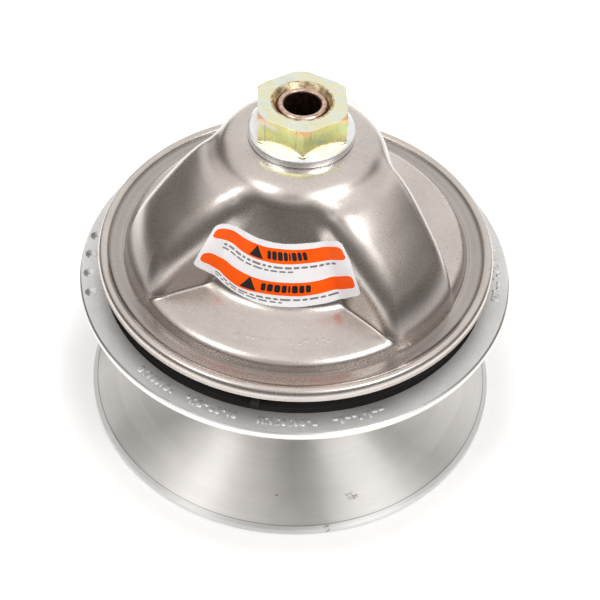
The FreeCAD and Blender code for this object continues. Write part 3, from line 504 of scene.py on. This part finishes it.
def chaikin(pts, times=3):
    p = np.asarray(pts, float)
    for _ in range(times):
        a, b = p[:-1], p[1:]
        q = np.empty((2 * len(a), 2))
        q[0::2] = a * 0.75 + b * 0.25
        q[1::2] = a * 0.25 + b * 0.75
        p = np.vstack([p[:1], q, p[-1:]])
    return p


def smin(a, b, k):
    h = np.maximum(k - np.abs(a - b), 0.0) / np.maximum(k, 1e-6)
    return np.minimum(a, b) - h * h * k * 0.25


def smax(a, b, k):
    return -smin(-a, -b, k)


class Profile:
    """Signed distance to a closed (radius, height) outline, read from a fine table. Millimetres."""
    R0, R1, Z0, Z1, H = 0.0, 100.0, 70.0, 166.0, 0.25

    def __init__(self, pts):
        pts = np.asarray(pts, float)
        rs = np.arange(self.R0, self.R1 + self.H / 2, self.H)
        zs = np.arange(self.Z0, self.Z1 + self.H / 2, self.H)
        R, Z = np.meshgrid(rs, zs, indexing="ij")
        d2 = np.full(R.shape, 1e9)
        inside = np.zeros(R.shape, bool)
        q = np.roll(pts, -1, 0)
        for (x0, z0), (x1, z1) in zip(pts, q):
            ex, ez = x1 - x0, z1 - z0
            L = ex * ex + ez * ez
            if L < 1e-12:
                continue
            if not (x0 == 0 and x1 == 0):
                t = np.clip(((R - x0) * ex + (Z - z0) * ez) / L, 0, 1)
                d2 = np.minimum(d2, (R - x0 - t * ex) ** 2 + (Z - z0 - t * ez) ** 2)
            if z0 != z1:
                cross = ((z0 > Z) != (z1 > Z)) & (R < (x1 - x0) * (Z - z0) / (z1 - z0) + x0)
                inside ^= cross
        self.t = np.where(inside, -1.0, 1.0) * np.sqrt(d2)

    def __call__(self, r, z):
        a = np.clip((r - self.R0) / self.H, 0, self.t.shape[0] - 1.001)
        b = np.clip((z - self.Z0) / self.H, 0, self.t.shape[1] - 1.001)
        i, j = a.astype(int), b.astype(int)
        u, v = a - i, b - j
        t = self.t
        return (t[i, j] * (1 - u) * (1 - v) + t[i + 1, j] * u * (1 - v)
                + t[i, j + 1] * (1 - u) * v + t[i + 1, j + 1] * u * v)


# --------------------------------------------------------------------- cover
WALL = [(0, 159.2), (24.0, 159.2), (29.6, 158.2), (34.4, 155.8), (38.0, 151.4), (40.0, 145.2), (52.6, 107.4), (55.6, 103.6),
        (62.0, 102.1), (70.0, 100.2), (74.4, 99.2), (77.2, 98.2), (79.2, 96.4), (80.2, 94.0), (80.9, 92.6),
        (81.8, 92.3), (84.4, 92.7), (86.8, 93.1)]
RIM = [(88.0, 93.3), (89.0, 94.6), (90.8, 95.4), (92.6, 94.6), (93.5, 92.4)]
CREST = [(0, 150.4), (24.0, 150.4), (33.0, 150.8), (37.0, 151.5), (38.8, 151.3), (40.2, 150.8), (42.0, 150.0),
         (44.0, 149.0), (46.0, 147.7), (50.0, 144.4), (54.0, 140.6), (58.0, 136.4), (62.0, 132.2), (66.0, 127.7),
         (70.0, 122.6), (73.2, 117.3), (75.7, 111.8), (77.8, 106.0), (79.5, 100.2), (80.6, 95.0)]
THICK = 2.8
HALF = 24.5
wall_line = chaikin(WALL, 3)
crest_line = chaikin(CREST, 3)
wall_sdf = Profile(np.vstack([wall_line, [(95.0, 97.0), (95.0, 71.0), (0.0, 71.0)]]))
crest_sdf = Profile(np.vstack([crest_line, [(80.8, 71.0), (0.0, 71.0)]]))
ORIGIN = np.array([0.0, 0.0, 85.0])


def cover_field(p, taper):
    """Negative inside the cover's form. p in millimetres. Outside, each channel narrows outwards."""
    r = np.hypot(p[:, 0], p[:, 1])
    f = wall_sdf(r, p[:, 2])
    c = crest_sdf(r, p[:, 2])
    grow = np.clip((r - 23.0) / 6.0, 0, 1)
    grow = grow * grow * (3 - 2 * grow)
    high = np.clip((p[:, 2] - 98.0) / 34.0, 0, 1)
    high = high * high * (3 - 2 * high)
    for az in LOBES:
        t = math.radians(az)
        u = p[:, 0] * math.cos(t) + p[:, 1] * math.sin(t)
        v = -p[:, 0] * math.sin(t) + p[:, 1] * math.cos(t)
        out = np.clip((u - 44.0) / 26.0, 0, 1)
        side = np.abs(v) - HALF + taper * out * out * (3 - 2 * out)
        lobe = smax(c, side, 7.0 + 3.5 * high)
        lobe = np.maximum(lobe, 5.0 - u)
        end = np.clip((HALF - 3.0 - np.abs(v)) / 9.0, 0, 1) * (1 - high)
        f = smin(f, lobe, (1.2 + 2.2 * high + 1.4 * end) * grow + 0.01)
    return f


def shoot(theta, phi, level):
    """Distance from ORIGIN to the level surface along each direction."""
    d = np.stack([np.cos(phi) * np.cos(theta), np.cos(phi) * np.sin(theta), np.sin(phi)], 1)
    lo, hi = np.full(len(d), 5.0), np.full(len(d), 93.0)
    for _ in range(22):
        mid = 0.5 * (lo + hi)
        f = cover_field(ORIGIN + d * mid[:, None], 2.1 if level == 0.0 else 0.0)
        lo = np.where(f < level, mid, lo)
        hi = np.where(f < level, hi, mid)
    return ORIGIN + d * (0.5 * (lo + hi))[:, None]


def cover_mesh(quick):
    n_t = 480 if quick else 720
    n_p = 170 if quick else 250
    # heights of the rows follow the valley's own line, evenly along it
    line = wall_line[(wall_line[:, 0] > 11.3) & (wall_line[:, 0] <= 86.4)]
    line = np.vstack([[11.25, 159.2], line, [86.5, 93.28]])
    s = np.r_[0, np.cumsum(np.hypot(*np.diff(line, axis=0).T))]
    phi_line = np.arctan2(line[:, 1] - ORIGIN[2], line[:, 0])
    # closer rows at the wall's foot and over the ring
    pitch = np.where(line[:, 0] > 73.0, 0.5, np.where((line[:, 0] > 49.0) & (line[:, 0] < 60.0), 0.7, 1.25))
    w = np.r_[0, np.cumsum(np.hypot(*np.diff(line, axis=0).T) / (0.5 * (pitch[1:] + pitch[:-1])))]
    phi = np.interp(np.linspace(0, w[-1], n_p), w, phi_line)
    theta = np.linspace(0, 2 * math.pi, n_t, endpoint=False)
    T = np.tile(theta, n_p)
    P = np.repeat(phi, n_t)
    outer = shoot(T, P, 0.0)
    rows = [outer]
    # the groove's floor, the bead and the rolled rim, down and back up inside
    tail = chaikin([(86.5, 93.28)] + RIM + [(93.5, 90.6)], 3)[1:]
    tail = np.vstack([tail, [(93.5, 89.5), (93.1, 89.1), (91.0, 89.1), (90.6, 89.5), (90.6, 91.6), (89.0, 91.4)]])
    for r, z in tail:
        rows.append(np.stack([r * np.cos(theta), r * np.sin(theta), np.full(n_t, z)], 1))
    n_in = n_p // 2
    line_in = np.interp(np.linspace(s[-1] - 4.0, 0, n_in), s, phi_line)
    inner = shoot(np.tile(theta, n_in), np.repeat(line_in, n_t), -THICK)
    rows.append(inner)
    v = np.concatenate(rows) * MM
    n_rows = len(v) // n_t
    f = grid_faces(n_rows, n_t)
    # close the bore: last inner row to the first outer row
    cols = np.arange(n_t)
    a = (n_rows - 1) * n_t
    f = np.vstack([f, np.stack([a + cols, a + (cols + 1) % n_t, (cols + 1) % n_t, cols], 1)])
    return v, f, n_p, n_t


cv, cf, c_rows, c_cols = cover_mesh(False)
cover = new_mesh("cover_shell", cv, cf[:, ::-1], [MAT["pressed_steel"]], sharp=42)
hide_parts("governor_cover")
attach(cover, "fixed")

outer_n = c_rows * c_cols
shell_tree = BVHTree.FromPolygons([Vector(p) for p in cv[:outer_n]],
                                  [tuple(int(i) for i in q) for q in cf[: (c_rows - 1) * c_cols]])


def on_shell(az, z, lift):
    """Point on the cover's outside, seen from the axis in direction az (degrees) at height z (mm)."""
    t = math.radians(az)
    d = Vector((math.cos(t), math.sin(t), 0.0))
    o = Vector((0, 0, z * MM)) + d * 0.120
    hit, nor, _, _ = shell_tree.ray_cast(o, -d)
    if hit is None:
        return None
    if nor.dot(d) < 0:
        nor = -nor
    return hit + nor * lift * MM, nor


# -------------------------------------------------------------------- spring
def helix_tube(radius, wire, z0, z1, turns, flat=0.75, n_seg=64, n_side=14):
    """Compression spring with closed ends, wire centre from z0 to z1."""
    total = int((turns + 2 * flat) * n_seg)
    k = np.linspace(0, 1, total + 1)
    ang = k * (turns + 2 * flat) * 2 * math.pi
    e = flat / (turns + 2 * flat)
    z = np.interp(k, [0, e, 1 - e, 1], [z0, z0 + wire * 1.2, z1 - wire * 1.2, z1])
    kern = np.hanning(33)
    kern /= kern.sum()
    z = np.convolve(np.pad(z, 16, mode="edge"), kern, "valid")
    c = np.stack([radius * np.cos(ang), radius * np.sin(ang), z], 1)
    tan = np.gradient(c, axis=0)
    tan /= np.linalg.norm(tan, axis=1)[:, None]
    out = np.stack([np.cos(ang), np.sin(ang), np.zeros_like(ang)], 1)
    up = np.cross(tan, out)
    a = np.linspace(0, 2 * math.pi, n_side, endpoint=False)
    v = (c[:, None, :] + wire * (np.cos(a)[None, :, None] * out[:, None, :] + np.sin(a)[None, :, None] * up[:, None, :]))
    n = len(c)
    v = v.reshape(-1, 3)
    f = [tuple(q) for q in grid_faces(n, n_side)]
    f.append(tuple(range(n_side))[::-1])
    f.append(tuple((n - 1) * n_side + i for i in range(n_side)))
    return v * MM, f


lo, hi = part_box("drive_spring")
sv, sf = helix_tube(20.95, 2.3, lo.z * 1000 + 2.35, hi.z * 1000 - 2.35, 4.6)
spring = new_mesh("drive_spring_coil", sv, sf, [MAT["spring_steel"]], sharp=60)
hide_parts("drive_spring")
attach(spring, "fixed")
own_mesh(spring)


# --------------------------------------------------------------------- label
# The label's own grid on the wall, which it follows into the two creases beside the lobes:
# t runs up the wall, s along it; each row gives the height z and radius r (mm) at each azimuth.
LABEL = {
    0.000: ([-136.6, -134.7, -132.0, -125.7, -119.1, -112.6, -106.1, -99.5, -93.0, -86.4, -79.9, -73.3, -67.2, -64.9, -63.2],
            [116.8, 112.9, 108.9, 107.3, 106.5, 105.9, 105.5, 105.6, 105.8, 106.2, 106.7, 107.0, 108.3, 112.6, 116.4],
            [61.6, 57.3, 53.6, 53.3, 53.7, 54.0, 54.2, 54.1, 54.0, 53.9, 53.6, 53.5, 54.4, 58.3, 62.7]),
    0.175: ([-136.1, -134.0, -131.6, -125.7, -119.4, -112.9, -106.5, -100.0, -93.5, -86.9, -80.4, -73.9, -67.9, -65.5, -63.6],
            [119.9, 116.8, 112.7, 110.7, 109.6, 109.5, 110.0, 110.4, 110.7, 110.9, 111.4, 112.0, 113.3, 116.9, 120.2],
            [60.5, 55.9, 52.4, 52.0, 52.4, 52.4, 52.2, 52.1, 52.0, 51.9, 51.7, 51.5, 52.8, 56.9, 61.3]),
    0.386: ([-135.4, -133.0, -130.6, -125.0, -118.7, -112.4, -106.1, -99.7, -93.4, -87.1, -80.7, -74.4, -69.0, -66.6, -64.4],
            [124.3, 122.7, 119.1, 117.3, 116.6, 116.2, 116.1, 116.4, 116.7, 117.0, 117.4, 118.1, 119.9, 123.2, 126.1],
            [58.7, 54.0, 50.5, 49.5, 49.8, 49.9, 50.0, 49.9, 49.7, 49.6, 49.5, 49.3, 50.8, 54.7, 58.8]),
    0.679: ([-133.9, -131.2, -128.1, -123.0, -117.2, -111.3, -105.4, -99.5, -93.6, -87.7, -81.7, -75.8, -70.9, -68.3, -65.5],
            [132.1, 130.7, 128.3, 126.3, 125.3, 124.9, 124.8, 124.9, 125.2, 125.7, 126.1, 126.4, 128.0, 130.6, 132.8],
            [54.6, 50.8, 47.5, 46.4, 46.7, 46.9, 46.9, 46.9, 46.8, 46.6, 46.5, 46.5, 48.4, 51.7, 55.2]),
    0.913: ([-133.1, -130.1, -127.0, -122.6, -117.1, -111.5, -106.0, -100.5, -94.9, -89.4, -83.8, -78.3, -73.4, -70.2, -67.1],
            [136.1, 135.9, 134.3, 132.3, 131.7, 131.5, 131.4, 131.7, 131.9, 132.1, 132.4, 132.7, 134.0, 136.0, 137.6],
            [52.3, 48.9, 46.0, 44.6, 44.6, 44.7, 44.7, 44.6, 44.5, 44.4, 44.3, 44.3, 45.8, 48.6, 51.4]),
    1.000: ([-132.8, -129.6, -126.4, -122.2, -116.8, -111.5, -106.1, -100.7, -95.4, -90.0, -84.6, -79.2, -74.4, -71.2, -67.8],
            [138.1, 138.1, 136.6, 135.0, 134.5, 134.1, 134.1, 134.1, 134.3, 134.7, 135.0, 135.2, 136.4, 138.4, 139.8],
            [51.1, 48.0, 45.3, 43.7, 43.6, 43.7, 43.8, 43.8, 43.7, 43.6, 43.4, 43.5, 44.8, 47.3, 49.8]),
}
LAB_T = np.array(sorted(LABEL))
LAB_NET = np.array([[(r * math.cos(math.radians(a)), r * math.sin(math.radians(a)), z)
                     for a, z, r in zip(*LABEL[t])] for t in LAB_T])
LAB_W, LAB_H = 74.0, 31.0


def catmull(P, u):
    """Smooth curve through the rows of P at parameter u (0..len-1)."""
    n = len(P)
    i = int(min(max(math.floor(u), 0), n - 2))
    f = u - i
    p0 = P[i - 1] if i > 0 else 2 * P[0] - P[1]
    p1, p2 = P[i], P[i + 1]
    p3 = P[i + 2] if i + 2 < n else 2 * P[-1] - P[-2]
    return 0.5 * (2 * p1 + (p2 - p0) * f + (2 * p0 - 5 * p1 + 4 * p2 - p3) * f * f
                  + (3 * p1 - p0 - 3 * p2 + p3) * f * f * f)


def label_point(s, t, lift):
    """A point of the label on the cover: s 0..1 along the wall, t 0..1 up it."""
    k = np.array([catmull(row, s * (LAB_NET.shape[1] - 1)) for row in LAB_NET])
    j = int(min(max(np.searchsorted(LAB_T, t) - 1, 0), len(LAB_T) - 2))
    f = (t - LAB_T[j]) / (LAB_T[j + 1] - LAB_T[j])
    q = k[j] * (1 - f) + k[j + 1] * f
    hit, nor, _, _ = shell_tree.find_nearest(Vector(q * MM))
    out = Vector((q[0], q[1], 20.0))
    if nor.dot(out) < 0:
        nor = -nor
    return hit + nor * lift * MM


def draped(name, edge, n_s, n_t, lift, mat, skirt=0.0):
    """A thin sheet on the cover. edge(a, b) gives label coordinates for the grid's 0..1 square."""
    pts = [label_point(*edge(i / (n_s - 1), j / (n_t - 1)), lift) for j in range(n_t) for i in range(n_s)]
    f = [tuple(int(x) for x in q) for q in grid_faces(n_t, n_s, closed_cols=False)]
    if skirt:
        ring = ([i for i in range(n_s)] + [j * n_s + n_s - 1 for j in range(1, n_t)]
                + [(n_t - 1) * n_s + i for i in range(n_s - 2, -1, -1)] + [j * n_s for j in range(n_t - 2, 0, -1)])
        base = len(pts)
        for k in ring:
            out = Vector((pts[k][0], pts[k][1], 0.02)).normalized()
            pts.append(pts[k] - out * skirt * MM)
        m = len(ring)
        for k in range(m):
            f.append((ring[k], base + k, base + (k + 1) % m, ring[(k + 1) % m]))
    return new_mesh(name, [tuple(v) for v in pts], f, [mat], sharp=50)


def rounded(s0, s1, t0, t1, corner):
    """Grid mapping for a rectangle with rounded corners; corner in millimetres."""
    def edge(a, b):
        t = t0 + (t1 - t0) * b
        h = (t1 - t0) * LAB_H
        c = min(corner, h / 2)
        d = min(b, 1 - b) * h
        inset = c - math.sqrt(max(c * c - (c - d) ** 2, 0.0)) if d < c else 0.0
        w = inset / LAB_W
        return (s0 + w) + (s1 - s0 - 2 * w) * a, t
    return edge


def wedge(s0, s1, t0, t1):
    """Grid mapping for a triangle standing on its base, its tip cut short."""
    def edge(a, b):
        half = (s1 - s0) / 2 * (1 - 0.94 * b)
        return (s0 + s1) / 2 + half * (2 * a - 1), t0 + (t1 - t0) * b
    return edge


def stick(name, edge, n_s, n_t, lift, mat, skirt=0.0):
    o = draped(name, edge, n_s, n_t, lift, MAT[mat], skirt)
    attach(o, "fixed")
    return o


label = stick("label_sheet", rounded(0.0, 1.0, 0.0, 1.0, 2.6), 150, 50, 0.13, "label_film", 0.25)
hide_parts("caution_label")
stick("label_band_upper", rounded(0.022, 0.978, 0.679, 0.913, 2.4), 140, 18, 0.17, "label_orange")
stick("label_band_lower", rounded(0.022, 0.978, 0.175, 0.386, 2.2), 140, 18, 0.17, "label_orange")
# plain marks: a blank triangle and a row of blocks on each band, rules of small print under them
stick("label_mark_upper", wedge(0.305, 0.405, 0.705, 0.893), 16, 12, 0.21, "label_black")
stick("label_mark_lower", wedge(0.305, 0.400, 0.198, 0.370), 16, 12, 0.21, "label_black")
blocks = [0.0, 0.125, 0.27, 0.42, 0.55, 0.625, 0.77, 0.90]
for band, (s0, s1, t0, t1) in enumerate(((0.432, 0.700, 0.728, 0.868), (0.425, 0.700, 0.222, 0.342))):
    for k, u in enumerate(blocks):
        w = (blocks[k + 1] if k + 1 < len(blocks) else 1.03) - u - 0.03
        a0 = s0 + (s1 - s0) * u
        stick("label_block_%d_%d" % (band + 1, k + 1), rounded(a0, a0 + (s1 - s0) * w, t0, t1, 0.5), 7, 8, 0.21,
              "label_black")
rnd = np.random.default_rng(11)
for row, (t, s0, s1, h) in enumerate(((0.618, 0.12, 0.88, 0.034), (0.556, 0.12, 0.62, 0.026),
                                      (0.112, 0.14, 0.86, 0.030), (0.062, 0.14, 0.55, 0.024))):
    u = s0
    k = 0
    while u < s1 - 0.02:
        w = float(rnd.uniform(0.022, 0.062))
        stick("label_rule_%d_%02d" % (row + 1, k + 1), rounded(u, min(u + w, s1), t - h / 2, t + h / 2, 0.3), 6, 3, 0.19,
              "label_grey")
        u += w + 0.010
        k += 1

# --------------------------------------------------------------------- marks
def pads(name, specs, rise, mat, body, height):
    """Small raised pads with sloping sides and clipped corners, all one mesh. Each spec is
    (azimuth from, azimuth to, radius from, radius to); height(az, r) gives the surface."""
    v, f = [], []
    for a0, a1, r0, r1 in specs:
        ca, cr = (a0 + a1) / 2, (r0 + r1) / 2
        wa = (a1 - a0) / 2 * math.radians(1) * cr
        wr = (r1 - r0) / 2
        c = min(wa, wr) * 0.45
        ring = [(-wa + c, -wr), (wa - c, -wr), (wa, -wr + c), (wa, wr - c), (wa - c, wr), (-wa + c, wr),
                (-wa, wr - c), (-wa, -wr + c)]
        k0 = len(v)
        for grow, lift in ((1.0, -0.08), (1.0, 0.0), (0.78, rise * 0.8), (0.60, rise)):
            for t, u in ring:
                uu = u * (1 - (1 - grow) * min(1.0, wa / wr) if wr > wa else grow)
                tt = t * (1 - (1 - grow) * min(1.0, wr / wa) if wa > wr else grow)
                rad = cr + uu
                az = ca + math.degrees(tt / cr)
                th = math.radians(az)
                v.append((rad * math.cos(th) * MM, rad * math.sin(th) * MM, (height(az, rad) + lift) * MM))
        for lvl in range(3):
            for i in range(8):
                a, b2 = k0 + lvl * 8 + i, k0 + lvl * 8 + (i + 1) % 8
                f.append((a, b2, b2 + 8, a + 8))
        f.append(tuple(k0 + 24 + i for i in range(8)))
        f.append(tuple(k0 + 7 - i for i in range(8)))
    o = new_mesh(name, v, f, [mat], sharp=35)
    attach(o, body)
    return o


# blank cast marks on the land, in four rows at the front and one at the side
LAND_Z = 79.35
rnd = np.random.default_rng(5)
specs = []
for a0, a1 in ((-134.0, -121.5), (-118.0, -104.0), (-98.2, -81.6), (-78.6, -64.0), (-12.0, 16.5)):
    a = a0
    while a < a1 - 0.7:
        w = float(rnd.uniform(0.75, 1.65))
        kind = int(rnd.integers(0, 4))
        r0, r1 = ((94.9, 98.9), (94.9, 97.0), (96.7, 98.9), (94.9, 98.9))[kind]
        if kind == 3 and w > 1.1:
            specs += [(a, a + w * 0.36, r0, r1), (a + w * 0.52, a + w, r0 + 0.1, r0 + 1.2), (a + w * 0.52, a + w, r1 - 1.2, r1)]
        else:
            specs.append((a, a + w, r0, r1))
        a += w + 0.42
pads("land_marks", specs, 0.34, MAT["cast_aluminium"], "sliding", lambda az, r: LAND_Z)


def ledge_z(az, r):
    t = math.radians(az)
    hit = shell_tree.ray_cast(Vector((r * math.cos(t) * MM, r * math.sin(t) * MM, 0.3)), Vector((0, 0, -1)))[0]
    return hit.z / MM


# a faint row of blank stamped marks on the front ledge
specs = []
a = -110.5
while a < -77.0:
    w = float(rnd.uniform(1.0, 1.9))
    r = 68.4 - (a + 94.0) * 0.055
    kind = int(rnd.integers(0, 3))
    r0, r1 = ((r, r + 2.6), (r, r + 1.2), (r + 1.3, r + 2.6))[kind]
    specs.append((a, a + w, r0, r1))
    a += w + (0.8 if rnd.random() < 0.8 else 2.4)
pads("ledge_marks", specs, 0.10, MAT["pressed_steel"], "fixed", ledge_z)

# -------------------------------------------------------------------- floor
def m_floor(g, b):
    """A floor with a painted pool of light: pale and glowing round the object and running up to the backdrop behind it,
    dark grey beyond, with a painted shadow close round the object.
    """
    p = g.obj()
    x, y, _ = g.split(p)
    n = g.noise(p, 14.0, 3.0, 0.5)
    pale = g.ramp(n, [(0.3, (0.90, 0.90, 0.905)), (0.7, (0.93, 0.93, 0.93))])
    ax = g.math("SUBTRACT", g.math("ABSOLUTE", x), g.math("MULTIPLY", g.math("MAXIMUM", y, 0.0), 0.35))
    # dark grey outside the pale area, which alone glows: a painted pool of light
    far = g.math("MAXIMUM", g.smooth(ax, 0.27, 0.45), g.smooth(y, -0.26, -0.46))
    g.put(b.inputs["Base Color"], g.mix(far, pale, (0.12, 0.110, 0.102)))
    g.put(b.inputs["Roughness"], 0.9)
    b.inputs["Specular IOR Level"].default_value = 0.1
    g.put(b.inputs["Emission Color"], (1.0, 1.0, 1.0))
    # less glow close round the object: a painted shadow
    near = g.smooth(g.radius(p), 0.150, 0.106)
    lift = g.math("SUBTRACT", 0.50, g.math("MULTIPLY", near, 0.44))
    g.put(b.inputs["Emission Strength"], g.math("MULTIPLY", g.math("SUBTRACT", 1.0, far), lift))


floor = new_mesh("floor", [(-6, -6, -0.0003), (6, -6, -0.0003), (6, 6, -0.0003), (-6, 6, -0.0003)], [(0, 1, 2, 3)],
                 [material("floor_look", m_floor)], smooth=False)
floor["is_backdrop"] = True

# -------------------------------------------------------------------- studio
world = bpy.data.worlds.new("studio")
scene.world = world
world.use_nodes = True
g = Graph(world.node_tree)
w_out = g.node("ShaderNodeOutputWorld")
w_bg = g.node("ShaderNodeBackground")
g.t.links.new(w_bg.outputs[0], w_out.inputs[0])
way = g.vmath("NORMALIZE", g.node("ShaderNodeTexCoord").outputs["Generated"])
wx, wy, wz = g.split(way)
el = g.math("MULTIPLY", g.math("ARCSINE", wz), 180.0 / math.pi)
azi = g.math("MULTIPLY", g.math("ARCTAN2", wy, wx), 180.0 / math.pi)
sky = g.ramp(g.linear(el, -10.0, 90.0), [
    (0.00, (0.190, 0.172, 0.160)), (0.20, (0.200, 0.182, 0.170)), (0.28, (0.285, 0.265, 0.250)),
    (0.37, (0.720, 0.692, 0.672)), (0.46, (0.930, 0.905, 0.885)), (0.70, (1.000, 0.975, 0.955)),
    (1.0, (1.060, 1.040, 1.025))])


def panel(col, az, el_mid, wide, high, soft, value):
    """A soft-edged light or wall: centre direction, half width and half height in degrees."""
    d = g.math("ABSOLUTE", g.math("WRAP", g.math("SUBTRACT", azi, az), 180.0, -180.0))
    e = g.math("ABSOLUTE", g.math("SUBTRACT", el, el_mid))
    f = g.math("MULTIPLY", g.smooth(d, wide + soft, wide - soft), g.smooth(e, high + soft, high - soft))
    return g.mix(f, col, value)


for args in (
    (74, 16, 42, 44, 8, (1.00, 0.975, 0.955)),        # pale backdrop
    (116, 34, 16, 24, 6, (0.94, 0.915, 0.895)),       # its left end
    (-42, 45.5, 19, 7.5, 4, (7.5, 7.4, 7.3)),         # soft box, front right
    (-67, 40, 7, 5, 4, (2.20, 2.17, 2.14)),
    (-145, 51, 12, 9, 5, (6.4, 6.3, 6.2)),            # soft box, front left
    (-99, 42, 11, 9, 6, (0.42, 0.405, 0.39)),         # gap between them
    (-22, 3, 34, 10, 6, (0.34, 0.320, 0.305)),        # room beyond, right
):
    sky = panel(sky, *args)
g.put(w_bg.inputs["Color"], sky)
w_bg.inputs["Strength"].default_value = 1.0

scene.view_settings.view_transform = "Standard"
scene.view_settings.look = "None"
scene.view_settings.exposure = 0.0
scene.view_settings.gamma = 1.0

# -------------------------------------------------------------------- camera
cam_data = bpy.data.cameras.new("camera")
cam_data.lens = 76.098
cam_data.sensor_width = 36.0
cam_data.clip_start, cam_data.clip_end = 0.01, 50.0
cam = bpy.data.objects.new("camera", cam_data)
scene.collection.objects.link(cam)
right = Vector((0.99903914, 0.02872849, 0.03309777))
upv = Vector((-0.04355862, 0.73428026, 0.67744752))
fwd = Vector((0.004841, 0.67823829, -0.7348261))
rot = Matrix((right, upv, -fwd)).transposed().to_4x4()
rot.translation = Vector((0.0, -0.428384, 0.516484))
cam.matrix_world = rot
scene.camera = cam

lo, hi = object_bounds()
